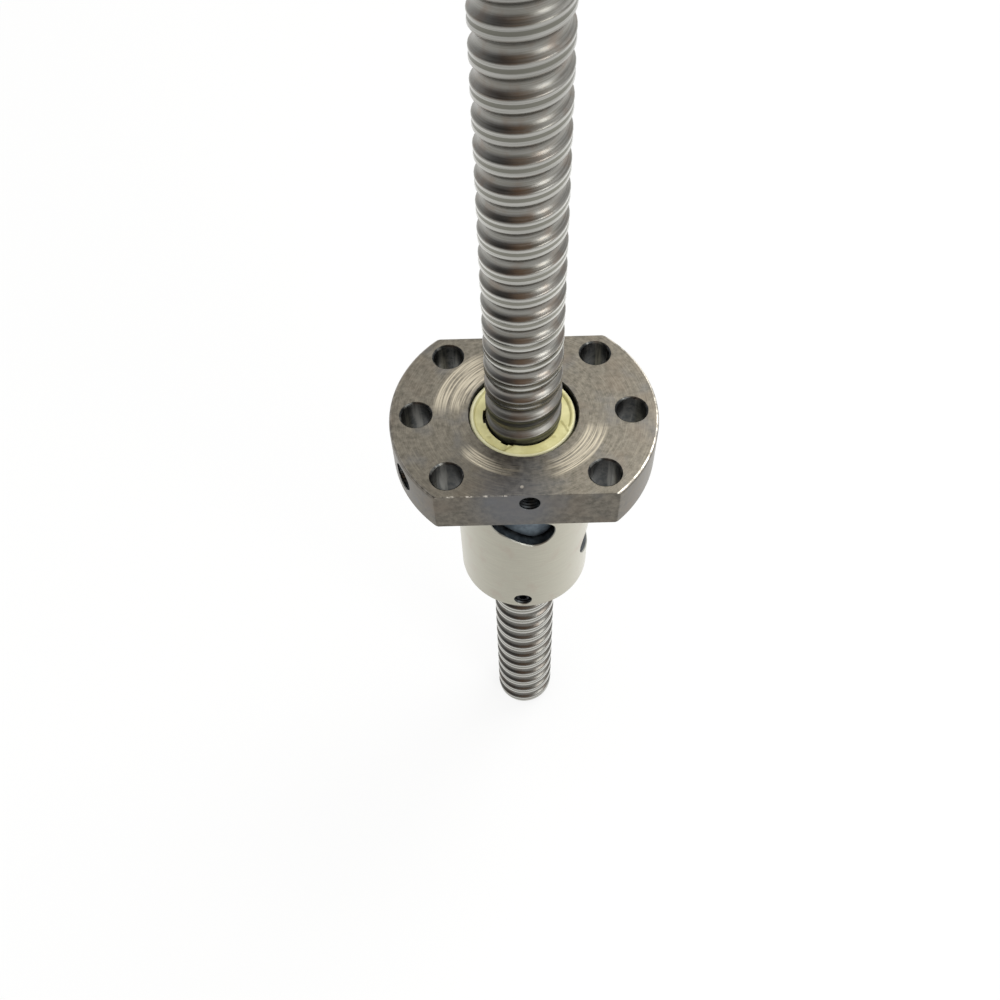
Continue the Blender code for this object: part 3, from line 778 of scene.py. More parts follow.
@dataclass(frozen=True)
class MilledSteel(Finish):
    """The walls of the milled pockets and tapped holes: nearly black with oil."""

    name: str = "milled_walls"
    dark: str = "#484B4D"
    pale: str = "#666A6C"
    clean_edge_and_sheen: str = "#9A9990"
    nut_radius: float = 11.0

    def draw(self, pattern: Pattern, shader: bpy.types.Node) -> None:
        """The oil lies in patches of about a millimetre, and the broken edge of a mouth is paler: cleaner
        steel with a painted highlight.
        """
        patches = pattern.noise(pattern.place, 1.1, 4.0)
        steel = pattern.blend(pattern.ramp(patches, 0.35, 0.68), self.dark, self.pale)
        mouth = pattern.ramp(pattern.radius, self.nut_radius - 0.26, self.nut_radius - 0.14, 0.0, 0.8)
        outside = pattern.ramp(pattern.radius, self.nut_radius + 0.5, self.nut_radius + 0.3)
        # Paler round each mouth: cleaner steel with a painted highlight on the flare
        colour = pattern.blend(pattern.times(mouth, outside), steel, self.clean_edge_and_sheen)
        rough = pattern.ramp(patches, 0.3, 0.7, 0.3, 0.46)
        self.lay(pattern, shader, colour, rough, patches)


@dataclass(frozen=True)
class SinteredSteel(Finish):
    """Sintered steel, steam treated: blue-grey and finely grained."""

    name: str = "steam_treated_sinter"
    relief: float = 0.015 * MM
    dark: str = "#5B656D"
    pale: str = "#7C878F"

    def draw(self, pattern: Pattern, shader: bpy.types.Node) -> None:
        """The powder's grain is about 0.1 mm."""
        grain = pattern.noise(pattern.place, 0.12, 2.0)
        clouds = pattern.noise(pattern.place, 1.6, 3.0)
        colour = pattern.blend(pattern.ramp(clouds, 0.3, 0.7), self.dark, self.pale)
        rough = pattern.ramp(grain, 0.3, 0.7, 0.42, 0.56)
        self.lay(pattern, shader, colour, rough, grain)


@dataclass(frozen=True)
class BallSteel(Finish):
    """Polished chrome steel balls, with a faint film of grease."""

    name: str = "polished_chrome_steel"
    relief: float = 0.002 * MM
    relief_strength: float = 0.2
    pale: str = "#CFCFCC"
    film: str = "#ABA699"

    def draw(self, pattern: Pattern, shader: bpy.types.Node) -> None:
        """The film lies in patches under a millimetre wide."""
        film = pattern.noise(pattern.place, 0.8, 3.0)
        colour = pattern.blend(pattern.ramp(film, 0.5, 0.7), self.pale, self.film)
        rough = pattern.ramp(film, 0.45, 0.7, 0.07, 0.2)
        self.lay(pattern, shader, colour, rough, film)


@dataclass(frozen=True)
class BlackenedSteel(Finish):
    """Set screws of heat-treated steel, blackened in oil."""

    name: str = "oil_blackening"
    dark: str = "#26272A"
    pale: str = "#45464A"

    def draw(self, pattern: Pattern, shader: bpy.types.Node) -> None:
        """Handling rubs the black off in specks."""
        specks = pattern.noise(pattern.place, 0.35, 4.0)
        colour = pattern.blend(pattern.ramp(specks, 0.5, 0.72), self.dark, self.pale)
        rough = pattern.ramp(specks, 0.3, 0.7, 0.34, 0.5)
        self.lay(pattern, shader, colour, rough, specks)


@dataclass(frozen=True)
class WiperPlastic(Finish):
    """Moulded nylon, pale yellow-green and slightly waxy."""

    name: str = "moulded_nylon"
    metallic: float = 0.0
    relief: float = 0.05 * MM
    relief_strength: float = 0.3
    pale: str = "#ECE6AC"
    deep: str = "#D6CF90"
    # Colour of a painted highlight on the rounded outer rim
    rim_highlight: str = "#F1EED2"
    # Colour of the painted shade in the creases and dimples
    crease_shade: str = "#9C9350"
    gap_shade: str = "#2E2814"
    # Painted shade lies on the lip's inside, below the face, next to the screw
    face_height: float = 92.6
    gap_shade_edge: float = 6.5
    rim_highlight_start: float = 7.35
    # Where the face's creases run and where its dimples are, both drawn with painted shade
    folds: tuple[tuple[tuple[float, float], tuple[float, float]], ...] = (
        ((5.58, -1.29), (6.39, -3.36)), ((-1.6, -5.7), (-3.0, -6.6)),
    )
    dimples: tuple[tuple[float, float], ...] = ((4.33, -4.36), (-5.17, -3.9))
    nylon_ior: float = 1.53

    def draw(self, pattern: Pattern, shader: bpy.types.Node) -> None:
        """Slow clouds from the moulding, a fine tool texture, painted shade next to the screw and in the
        creases, and a painted highlight on the rim.
        """
        clouds = pattern.noise(pattern.place, 2.2, 3.0)
        fine = pattern.noise(pattern.place, 0.18, 2.0)
        plastic = pattern.blend(pattern.ramp(clouds, 0.32, 0.7), self.deep, self.pale)
        # A painted highlight on the rim
        rim = pattern.ramp(pattern.radius, self.rim_highlight_start, self.rim_highlight_start + 0.25, 0.0, 0.45)
        plastic = pattern.blend(rim, plastic, self.rim_highlight)
        # Painted shade along the creases and in the dimples
        for start, stop in self.folds:
            crease_shade = pattern.ramp(pattern.apart(start, stop), 0.3, 0.08, 0.0, 0.6)
            plastic = pattern.blend(crease_shade, plastic, self.crease_shade)
        for x, y in self.dimples:
            dimple = pattern.ramp(pattern.apart((x - 0.1, y), (x + 0.1, y)), 0.4, 0.12, 0.0, 0.35)
            plastic = pattern.blend(dimple, plastic, self.crease_shade)
        # Painted shade on the lip's inside, below the face
        inner = pattern.ramp(pattern.radius, self.gap_shade_edge, self.gap_shade_edge - 0.2, 0.0, 0.92)
        below = pattern.ramp(pattern.z, self.face_height + 0.12, self.face_height)
        colour = pattern.blend(pattern.times(inner, below), plastic, self.gap_shade)
        rough = pattern.ramp(fine, 0.3, 0.7, 0.3, 0.42)
        shader.inputs["IOR"].default_value = self.nylon_ior
        self.lay(pattern, shader, colour, rough, clouds)


# --------------------------------------------------------------------------------------------------
# The ball screw
# --------------------------------------------------------------------------------------------------


@dataclass(frozen=True)
class BallThread:
    """The right-hand ball thread that the screw, the nut, the wipers and the balls share."""

    lead: float = 4.0 * MM
    ball_radius: float = 2.381 / 2 * MM
    ball_circle: float = 6.1 * MM
    running_clearance: float = 0.05 * MM
    land_radius: float = 5.6 * MM
    land_clearance: float = 0.1 * MM
    shoulder: float = 0.33 * MM
    seam_margin: float = 0.12 * MM
    seam_depth: float = 0.08 * MM
    first_azimuth: float = math.radians(-91.5)
    first_height: float = 77.6 * MM
    steps: int = 48
    groove_steps: int = 4
    shoulder_steps: int = 3

    @property
    def groove_radius(self) -> float:
        """Radius of the groove's arc, which the balls run in with a little clearance."""
        return self.ball_radius + self.running_clearance

    def land_height(self, azimuth: float) -> float:
        """Height of the middle of a land at an azimuth."""
        return self.first_height + self.lead * (azimuth - self.first_azimuth) / math.tau

    def half_profile(self, growth: float) -> Profile:
        """Half a lead, from the middle of a groove to the middle of the land above it.

        Args:
            growth: How far the thread stands outside the screw's own surface.

        Returns:
            (radius, height) points, upwards from the groove's middle.
        """
        groove = self.groove_radius
        centre = self.land_radius - self.shoulder
        drop = self.ball_circle - centre
        rise = math.sqrt((groove + self.shoulder) ** 2 - drop ** 2)
        meet = math.atan2(rise, drop)
        points = []
        for step in range(self.groove_steps + 1):
            angle = meet * step / self.groove_steps
            reach = groove - growth
            points.append((self.ball_circle - reach * math.cos(angle), reach * math.sin(angle)))
        for step in range(1, self.shoulder_steps + 1):
            angle = meet * (1.0 - step / self.shoulder_steps)
            reach = self.shoulder + growth
            points.append((centre + reach * math.cos(angle), rise - reach * math.sin(angle)))
        edge = rise + self.seam_margin
        middle = self.lead / 2
        land = self.land_radius + growth
        points.append((land, edge))
        points.append((land - self.seam_depth / 2, (edge + middle) / 2))
        points.append((land - self.seam_depth, middle))
        return points

    def wind(self, shape: bmesh.types.BMesh, geometry: list, turns: int) -> None:
        """Sweep a profile up the helix: one turn is spun, then copied and stacked until there are enough.

        Args:
            shape: The shape that the profile is in.
            geometry: The profile's vertices and edges.
            turns: The fewest turns that are needed.
        """
        spun(shape, geometry, math.tau, self.steps, self.lead / self.steps)
        made = 1
        while made < turns:
            copied = bmesh.ops.duplicate(shape, geom=whole(shape))["geom"]
            verts = [part for part in copied if isinstance(part, bmesh.types.BMVert)]
            bmesh.ops.translate(shape, verts=verts, vec=(0.0, 0.0, self.lead * made))
            made *= 2
        bmesh.ops.remove_doubles(shape, verts=shape.verts, dist=2.0 * WELD)

    def bar(self, bottom: float, top: float, growth: float) -> bmesh.types.BMesh:
        """A bar with the thread, swept along the helix and cut square at both ends.

        Args:
            bottom: Height of its lower end.
            top: Height of its upper end.
            growth: How far it stands outside the screw's own surface.

        Returns:
            The closed bar.
        """
        shape = bmesh.new()
        half = self.half_profile(growth)
        profile = half + [(radius, self.lead - height) for radius, height in reversed(half[:-1])]
        groove = self.land_height(0.0) + self.lead / 2
        first = groove - self.lead * (math.ceil((groove - bottom) / self.lead) + 1)
        turns = math.ceil((top - first) / self.lead) + 1
        lifted = [(radius, first + height) for radius, height in profile]
        self.wind(shape, outlined(shape, lifted, closed=False), turns)
        for height, facing in ((bottom, -1.0), (top, 1.0)):
            split(shape, (0.0, 0.0, height), (0.0, 0.0, facing), clear=True)
            rim = [
                edge for edge in rims(shape)
                if all(abs(vert.co.z - height) < 2.0 * WELD for vert in edge.verts)
            ]
            bmesh.ops.edgeloop_fill(shape, edges=rim)
        bmesh.ops.recalc_face_normals(shape, faces=shape.faces)
        return shape


@dataclass(frozen=True)
class BallCircuits:
    """The four closed loops of balls, and where each one crosses a land under its return insert."""

    thread: BallThread
    count: int = 4
    azimuth_step: float = math.radians(-90.0)
    crossing_half_angle: float = math.radians(36.0)
    ball_gap: float = 0.25 * MM
    ball_subdivisions: int = 3
    samples: int = 1440

    def insert_place(self, index: int) -> tuple[float, float]:
        """Azimuth and height of the middle of an insert."""
        azimuth = self.thread.first_azimuth + index * self.azimuth_step
        return azimuth, self.thread.land_height(azimuth) - index * self.thread.lead

    def point(self, index: int, delta: float) -> Vector:
        """Centre of a ball at an angle past the middle of an insert, from minus to plus half a turn."""
        thread = self.thread
        azimuth, middle = self.insert_place(index)
        if abs(delta) < self.crossing_half_angle:
            offset = -thread.lead / 2 * math.sin(math.pi / 2 * delta / self.crossing_half_angle)
        else:
            offset = -math.copysign(thread.lead / 2, delta)
        reach = thread.ball_radius + thread.land_clearance
        drop = thread.ball_circle - thread.land_radius
        half_groove = math.sqrt(thread.groove_radius ** 2 - drop ** 2)
        side = max(0.0, abs(offset) - (thread.lead / 2 - half_groove))
        radius = thread.ball_circle
        if side < reach:
            radius = max(radius, thread.land_radius + math.sqrt(reach ** 2 - side ** 2))
        height = middle + thread.lead * delta / math.tau + offset
        return Vector((radius * math.cos(azimuth + delta), radius * math.sin(azimuth + delta), height))

    def places(self, index: int) -> list[Vector]:
        """Centres of one circuit's balls, evenly spaced round it."""
        deltas = [math.remainder(math.tau * step / self.samples, math.tau) for step in range(self.samples)]
        points = [self.point(index, delta) for delta in deltas]
        lengths = [0.0]
        for here, there in zip(points, points[1:] + points[:1]):
            lengths.append(lengths[-1] + (there - here).length)
        balls = math.floor(lengths[-1] / (2 * self.thread.ball_radius + self.ball_gap))
        found = []
        sample = 0
        for ball in range(balls):
            while lengths[sample] < ball * lengths[-1] / balls:
                sample += 1
            found.append(points[sample])
        return found

    def build(self, nodes: Iterable[str]) -> None:
        """Make one piece of each circuit's balls, which stands for that circuit's nodes."""
        for index in range(self.count):
            shape = bmesh.new()
            for centre in self.places(index):
                bmesh.ops.create_icosphere(
                    shape, subdivisions=self.ball_subdivisions, radius=self.thread.ball_radius,
                    matrix=Matrix.Translation(centre),
                )
            piece = placed("ball_circuit_%d" % (index + 1), shape, [BallSteel().material()])
            piece.data.shade_smooth()
            mine = [name for name in nodes if name.startswith("ball_%d_" % (index + 1))]
            dress(piece, Body.NUT, mine)


def dress(piece: bpy.types.Object, body: Body, nodes: Sequence[str]) -> None:
    """Put a finished piece on its body, in place of the nodes that it stands for.

    Args:
        piece: The piece.
        body: The body that it rides on.
        nodes: The nodes that it replaces.
    """
    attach(piece, body.value)
    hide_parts(*nodes)
    LOG.info("%s: %d faces, for %d nodes", piece.name, len(piece.data.polygons), len(nodes))


@dataclass
class ScrewShaft:
    """The rolled screw, cut square at both ends and chamfered."""

    thread: BallThread
    length: float = 200.0 * MM
    chamfer: float = 0.8 * MM

    def build(self) -> None:
        """Make the screw: near each end, what stands outside the chamfer's cone is drawn in to it."""
        shape = self.thread.bar(0.0, self.length, 0.0)
        for height in (self.chamfer, self.length - self.chamfer):
            split(shape, (0.0, 0.0, height), (0.0, 0.0, 1.0))
        for vert in shape.verts:
            allowed = self.thread.land_radius - self.chamfer + min(vert.co.z, self.length - vert.co.z)
            radius = math.hypot(vert.co.x, vert.co.y)
            if radius > allowed:
                vert.co.x *= allowed / radius
                vert.co.y *= allowed / radius
        piece = settled(placed("rolled_screw", shape, [RolledThreadSteel().material()]))
        dress(piece, Body.SCREW, ["screw_shaft"])


@dataclass
class Wipers:
    """The two wipers and the counterbores' common sizes."""

    thread: BallThread
    counterbore: float = 8.17 * MM
    radius: float = 7.9 * MM
    thickness: float = 3.2 * MM
    gap: float = 0.3 * MM
    clearance: float = 0.2 * MM
    lip_clearance: float = 0.3 * MM
    upper_middle: float = (93.6 - 0.45 - 1.6) * MM
    lower_middle: float = 56.101 * MM
    upper_shift: float = -0.19 * MM
    rim_width: float = 0.55 * MM
    dish: float = 0.36 * MM
    # Each notch in the upper wiper's lip: start azimuth, sweep, outer radius
    notches: tuple[tuple[float, float, float], ...] = (
        (math.radians(168.0), math.radians(24.0), 6.12 * MM),
        (math.radians(-126.0), math.radians(20.0), 6.08 * MM),
    )
    notch_depth: float = 2.2 * MM
    step_start: float = math.radians(-112.0)
    step_sweep: float = math.radians(92.0)
    edge: float = 0.15 * MM
    groove_depth: float = 0.7 * MM
    groove_width: float = 2.2 * MM
    sides: int = 96

    @property
    def upper_seat(self) -> float:
        """Height of the floor of the upper counterbore."""
        return self.upper_middle - self.thickness / 2 - self.gap

    @property
    def lower_seat(self) -> float:
        """Height of the end of the lower counterbore, above its wiper."""
        return self.lower_middle + self.thickness / 2 + self.gap

    def build_upper(self) -> None:
        """The upper wiper: a raised rim, a dished face, and a lip that follows the thread."""
        top = self.upper_middle + self.thickness / 2
        bottom = self.upper_middle - self.thickness / 2
        inside = self.thread.ball_circle / 2
        face = self.radius - self.rim_width
        outer, edge, dish = self.radius, self.edge, self.dish
        shape = turned([
            (inside, bottom), (outer - edge, bottom), (outer, bottom + edge), (outer, top - 2 * edge),
            (outer - 0.3 * edge, top - edge), (outer - edge, top - 0.3 * edge), (outer - 2 * edge, top),
            (face + edge, top), (face, top - 0.1 * dish), (face - edge, top - dish / 4),
            (inside, top - dish / 4),
        ], self.sides)
        shift = Matrix.Translation((self.upper_shift, 0.0, 0.0))
        moved(shape, shift)
        finish = [WiperPlastic().material()]
        piece = placed("upper_wiper_ring", shape, finish)
        bar = self.thread.bar(bottom - MM, top + MM, self.lip_clearance)
        cutters = [placed("wiper_thread", bar, finish)]
        low = top - self.notch_depth
        for start, sweep, reach in self.notches:
            outline = [(inside, low), (reach, low), (reach, top + MM), (inside, top + MM)]
            cutters.append(placed("notch_cut", part_turned(outline, start, sweep), finish))
        # The moulded face is lower outside the front right sector, with a crease at each of its ends
        low = top - dish
        outline = [
            (inside, low), (face - 2 * edge, low), (face, top - 0.1 * dish), (face, top + MM),
            (inside, top + MM),
        ]
        lowered = part_turned(outline, self.step_start + self.step_sweep, math.tau - self.step_sweep)
        cutters.append(placed("face_cut", moved(lowered, shift), finish))
        carved(piece, cutters)
        dress(evened(piece), Body.NUT, ["upper_wiper"])

    def build_lower(self) -> None:
        """The lower wiper: a ring with a groove for its set screw."""
        top = self.lower_middle + self.thickness / 2
        bottom = self.lower_middle - self.thickness / 2
        inside = self.thread.land_radius + self.clearance
        floor = self.radius - self.groove_depth
        half = self.groove_width / 2
        middle = self.lower_middle
        face = self.radius - self.rim_width
        outer, edge, dished = self.radius, self.edge, bottom + self.dish
        shape = turned([
            (inside + edge, dished), (face - edge, dished), (face, bottom), (outer - edge, bottom),
            (outer, bottom + edge), (outer, middle - half), (floor, middle - half),
            (floor, middle + half), (outer, middle + half), (outer, top - edge), (outer - edge, top),
            (inside + edge, top), (inside, top - edge), (inside, dished + edge),
        ], self.sides)
        piece = settled(placed("lower_wiper_ring", shape, [WiperPlastic().material()]))
        dress(evened(piece), Body.RING, ["lower_wiper"])


@dataclass
class ReturnInserts:
    """The obround steel plugs that step down and round the nut, and the pockets that hold them."""

    thread: BallThread
    circuits: BallCircuits
    cap_radius: float = 3.0 * MM
    cap_spacing: float = 4.65 * MM
    # How far each insert's outline is turned round the nut from its crossing, as the photograph shows it
    outline_turns: tuple[float, ...] = tuple(math.radians(turn) for turn in (-1.3, -1.3, -1.3, -3.0))
    tilt: float = math.radians(-28.0)
    clearance: float = 0.2 * MM
    face_radius: float = 9.5 * MM
    bore: float = 5.9 * MM
    bend_share: float = 0.8
    rounding: float = 0.45 * MM
    rounding_steps: int = 4
    pocket_flare: float = 0.15 * MM
    channel_half_angle: float = math.radians(96.0)
    channel_steps: int = 72
    channel_sides: int = 24
    sides: int = 48
    slice_spacing: float = 0.4 * MM

    def shaped(self, profile: Profile, radius: float, above: float, index: int) -> bmesh.types.BMesh:
        """An obround shape from a turned profile, tilted, bent round the nut and put in its place.

        Args:
            profile: (radius, distance from the screw's axis) points.
            radius: The radius that it is bent round.
            above: What is further out than this is bent.
            index: Which insert it is for.

        Returns:
            The closed shape.
        """
        azimuth, height = self.circuits.insert_place(index)
        shape = pulled_apart(turned(profile, self.sides), self.cap_spacing, self.sides)
        moved(shape, Matrix.Rotation(self.tilt, 4, "Z"))
        sliced(shape, self.cap_spacing / 2 + self.cap_radius, self.slice_spacing)
        wrapped(shape, radius, above)
        bmesh.ops.recalc_face_normals(shape, faces=shape.faces)
        return moved(shape, radial_place(azimuth + self.outline_turns[index], height))

    def pocket(self, index: int, nut_radius: float) -> bmesh.types.BMesh:
        """The cutter of a pocket, whose mouth is flared to break its edge."""
        wide = self.cap_radius + 2 * self.pocket_flare
        return self.shaped([
            (0.0, self.thread.land_radius / 2), (self.cap_radius, self.thread.land_radius / 2),
            (self.cap_radius, nut_radius - self.pocket_flare), (wide, nut_radius + self.pocket_flare),
            (wide, nut_radius + MM), (0.0, nut_radius + MM),
        ], nut_radius, nut_radius / 2, index)

    def build(self) -> None:
        """Make the inserts: a rounded outer edge, and the S-shaped channel inside."""
        for index in range(self.circuits.count):
            cap = self.cap_radius - self.clearance
            rounded = []
            for step in range(self.rounding_steps + 1):
                angle = math.pi / 2 * step / self.rounding_steps
                rounded.append((
                    cap - self.rounding * (1.0 - math.cos(angle)),
                    self.face_radius - self.rounding * (1.0 - math.sin(angle)),
                ))
            profile = [(0.0, self.bore), (cap, self.bore)] + rounded + [(0.0, self.face_radius)]
            shape = self.shaped(profile, self.face_radius, self.face_radius * self.bend_share, index)
            piece = placed("insert_plug_%d" % (index + 1), shape, [SinteredSteel().material()])
            far = self.thread.first_height * 2
            bore = turned([(0.0, -MM), (self.bore, -MM), (self.bore, far), (0.0, far)], self.sides * 2)
            count = self.channel_steps
            deltas = [self.channel_half_angle * (2 * step / count - 1) for step in range(count + 1)]
            path = [self.circuits.point(index, delta) for delta in deltas]
            channel = swept(path, self.thread.groove_radius, self.channel_sides)
            finish = [SinteredSteel().material()]
            cutters = [placed("bore_cut", bore, finish), placed("channel_cut", channel, finish)]
            carved(piece, cutters)
            dress(evened(piece), Body.NUT, ["return_insert_%d" % (index + 1)])


@dataclass
class FlangedNut:
    """The nut: flange and body in one piece of steel, with everything that is cut into it."""

    thread: BallThread
    wipers: Wipers
    inserts: ReturnInserts
    top: float = 93.6 * MM
    flange_thickness: float = 7.5 * MM
    flange_radius: float = 20.0 * MM
    half_width: float = 15.0 * MM
    rim_chamfer: float = 0.4 * MM
    lower_chamfer: float = 0.2 * MM
    flat_edge: float = 0.07 * MM
    body_radius: float = 11.0 * MM
    body_bottom: float = 53.601 * MM
    body_chamfer: float = 0.4 * MM
    # Where a chamfer bends outwards: shares of it inwards and along
    chamfer_knee: tuple[float, float] = (0.35, 0.3)
    mouth_edge: float = 0.12 * MM
    bore: float = 5.9 * MM
    bolt_circle: float = 16.0 * MM
    bolt_hole: float = 2.25 * MM
    bolt_mouth: float = 0.26 * MM
    bolt_spread: float = math.radians(45.0)
    port_azimuth: float = math.radians(-154.0)
    port_radius: float = 2.15 * MM
    port_depth: float = 6.0 * MM
    port_drop: float = 3.5 * MM
    port_pitch: float = 0.75 * MM
    passage_radius: float = 0.9 * MM
    passage_fall: float = 4.8 * MM
    set_screw_hole: float = 1.52 * MM
    set_screw_pitch: float = 0.5 * MM
    thread_depth: float = 0.12 * MM
    upper_flare: float = 0.03 * MM
    lower_flare: float = 0.14 * MM
    upper_offset: float = 0.45 * MM
    lower_azimuth: float = math.radians(-92.7)
    sides: int = 144
    hole_sides: int = 40
    track_sides: int = 20

    def blank(self) -> bmesh.types.BMesh:
        """The turned blank with the flange's two flats, before anything is drilled."""
        wipers, edge = self.wipers, self.mouth_edge
        under = self.top - self.flange_thickness
        rim, chamfer, low = self.flange_radius, self.rim_chamfer, self.lower_chamfer
        body, bottom, foot = self.body_radius, self.body_bottom, self.body_chamfer
        upper_seat, lower_seat = wipers.upper_seat, wipers.lower_seat
        counterbore = wipers.counterbore
        knee_in, knee_down = self.chamfer_knee
        shape = turned([
            (counterbore + edge, self.top), (rim - chamfer, self.top),
            (rim - knee_in * chamfer, self.top - knee_down * chamfer), (rim, self.top - chamfer),
            (rim, under + low), (rim - low, under), (body, under), (body, bottom + foot),
            (body - knee_in * foot, bottom + knee_down * foot), (body - foot, bottom),
            (counterbore + edge, bottom), (counterbore, bottom + edge), (counterbore, lower_seat),
            (self.bore, lower_seat), (self.bore, upper_seat), (counterbore, upper_seat),
            (counterbore, self.top - edge),
        ], self.sides)
        for side in (-1.0, 1.0):
            split(shape, (0.0, side * self.half_width, 0.0), (0.0, side, 0.0), clear=True)
            bmesh.ops.edgeloop_fill(shape, edges=rims(shape))
        sharp = [
            edge for edge in shape.edges
            if all(abs(abs(vert.co.y) - self.half_width) < 2 * WELD for vert in edge.verts)
        ]
        bmesh.ops.bevel(
            shape, geom=sharp, offset=self.flat_edge, offset_type="OFFSET", segments=2, profile=0.5,
            affect="EDGES", clamp_overlap=True, material=-1,
        )
        bmesh.ops.recalc_face_normals(shape, faces=shape.faces)
        for face in shape.faces:
            middle = face.calc_center_median()
            reach = math.hypot(middle.x, middle.y)
            inwards = face.normal.dot(Vector((middle.x, middle.y, 0.0))) < LEVEL
            if reach < counterbore + edge and inwards:
                face.material_index = NutFinish.BORE.value
            elif middle.z < under - WELD:
                face.material_index = NutFinish.BODY.value
        return shape

    def bored(
        self, length: float, radius: float, pitch: float, flare: float, steel: bpy.types.Material,
    ) -> bpy.types.Object:
        """A cutter for a tapped hole along Z, from 0 to its length, with a flared mouth at the top.

        Args:
            length: Where the hole's mouth is.
            radius: The hole's smaller radius.
            pitch: Its thread's pitch.
            flare: How deep the mouth is flared.
            steel: The material of its walls.

        Returns:
            The cutter, not placed yet.
        """
        points = [(0.0, 0.0), (radius, 0.0)]
        height = pitch
        while height < length - pitch:
            points += [(radius, height), (radius + self.thread_depth, height + pitch / 2)]
            height += pitch
        points += [(radius, length - flare), (radius + 2 * flare, length + flare)]
        points += [(radius + 2 * flare, length + MM), (0.0, length + MM)]
        return placed("tapped_hole_cut", turned(points, self.hole_sides), [steel])

    def cutters(self) -> list[bpy.types.Object]:
        """The cutters of the bolt holes, pockets, set screw holes, grease port and ball track."""
        steel = DrilledSteel().material()
        oiled = MilledSteel().material()
        made = []
        under = self.top - self.flange_thickness
        flare = self.bolt_mouth
        wide = self.bolt_hole + 2 * flare
        for end in (0.0, math.pi):
            for spread in (-self.bolt_spread, 0.0, self.bolt_spread):
                hole = turned([
                    (0.0, under - MM), (wide, under - MM), (wide, under - flare),
                    (self.bolt_hole, under + flare), (self.bolt_hole, self.top - flare),
                    (wide, self.top + flare), (wide, self.top + MM), (0.0, self.top + MM),
                ], self.hole_sides)
                place = Vector((math.cos(end + spread), math.sin(end + spread), 0.0)) * self.bolt_circle
                made.append(placed("bolt_hole_cut", moved(hole, Matrix.Translation(place)), [steel]))
        made.append(placed("ball_track_cut", self.ball_track(), [steel]))
        for index in range(self.inserts.circuits.count):
            made.append(placed("pocket_cut", self.inserts.pocket(index, self.body_radius), [oiled]))
        return made + self.screw_hole_cutters(oiled) + self.port_cutters(steel)

    def upper_hole(self, reach: float) -> Matrix:
        """Place on the line of the upper set screw hole, this far from the screw's axis."""
        out = radial_place(-math.pi / 2, self.wipers.upper_middle)
        return out @ Matrix.Translation((self.upper_offset, 0.0, reach))

    def lower_hole(self, reach: float) -> Matrix:
        """Place on the line of the lower set screw hole, this far from the screw's axis."""
        out = radial_place(self.lower_azimuth, self.wipers.lower_middle)
        return out @ Matrix.Translation((0.0, 0.0, reach))

    def screw_hole_cutters(self, steel: bpy.types.Material) -> list[bpy.types.Object]:
        """The cutters of the two set screw holes, from the wipers outwards."""
        start = self.wipers.radius
        hole, pitch = self.set_screw_hole, self.set_screw_pitch
        upper = self.bored(self.half_width - start, hole, pitch, self.upper_flare, steel)
        upper.data.transform(self.upper_hole(start))
        lower = self.bored(self.body_radius - start, hole, pitch, self.lower_flare, steel)
        lower.data.transform(self.lower_hole(start))
        return [upper, lower]

    def port_cutters(self, steel: bpy.types.Material) -> list[bpy.types.Object]:
        """The cutters of the tapped grease port and of the passage that falls from it to the bore."""
        port = self.bored(self.port_depth, self.port_radius, self.port_pitch, self.lower_flare, steel)
        height = self.top - self.port_drop
        floor = self.flange_radius - self.port_depth
        port.data.transform(radial_place(self.port_azimuth, height) @ Matrix.Translation((0.0, 0.0, floor)))
        outwards = Vector((math.cos(self.port_azimuth), math.sin(self.port_azimuth), 0.0))
        inlet = outwards * floor + Vector((0.0, 0.0, height))
        outlet = outwards * self.thread.land_radius + Vector((0.0, 0.0, height - self.passage_fall))
        inlet += (inlet - outlet).normalized() * self.passage_radius
        passage = swept([inlet, (inlet + outlet) / 2, outlet], self.passage_radius, self.hole_sides // 2)
        return [port, placed("passage_cut", passage, [steel])]

    def ball_track(self) -> bmesh.types.BMesh:
        """The cutter of the helical ball track, which runs out into both counterbores."""
        thread, wipers = self.thread, self.wipers
        radius = thread.groove_radius / math.cos(math.pi / self.track_sides)
        low, high = wipers.lower_seat - radius, wipers.upper_seat + radius
        groove = thread.land_height(0.0) + thread.lead / 2
        first = groove - thread.lead * math.ceil((groove - low) / thread.lead)
        turns = math.ceil((high - first) / thread.lead)
        shape = bmesh.new()
        ring = Matrix.Translation((thread.ball_circle, 0.0, first)) @ Matrix.Rotation(math.pi / 2, 4, "X")
        bmesh.ops.create_circle(
            shape, cap_ends=False, segments=self.track_sides, radius=radius, matrix=ring,
        )
        thread.wind(shape, shape.verts[:] + shape.edges[:], turns)
        bmesh.ops.holes_fill(shape, edges=rims(shape), sides=self.track_sides)
        bmesh.ops.recalc_face_normals(shape, faces=shape.faces)
        return shape

    def build(self) -> None:
        """Make the nut, and carve everything into it."""
        steels = {
            NutFinish.FLANGE: HeatScaledSteel(),
            NutFinish.BODY: GroundSteel(),
            NutFinish.BORE: DrilledSteel(),
        }
        finishes = [steels[finish].material() for finish in NutFinish]
        piece = placed("flanged_nut", self.blank(), finishes)
        carved(piece, self.cutters())
        dress(evened(piece), Body.NUT, ["nut_body"])


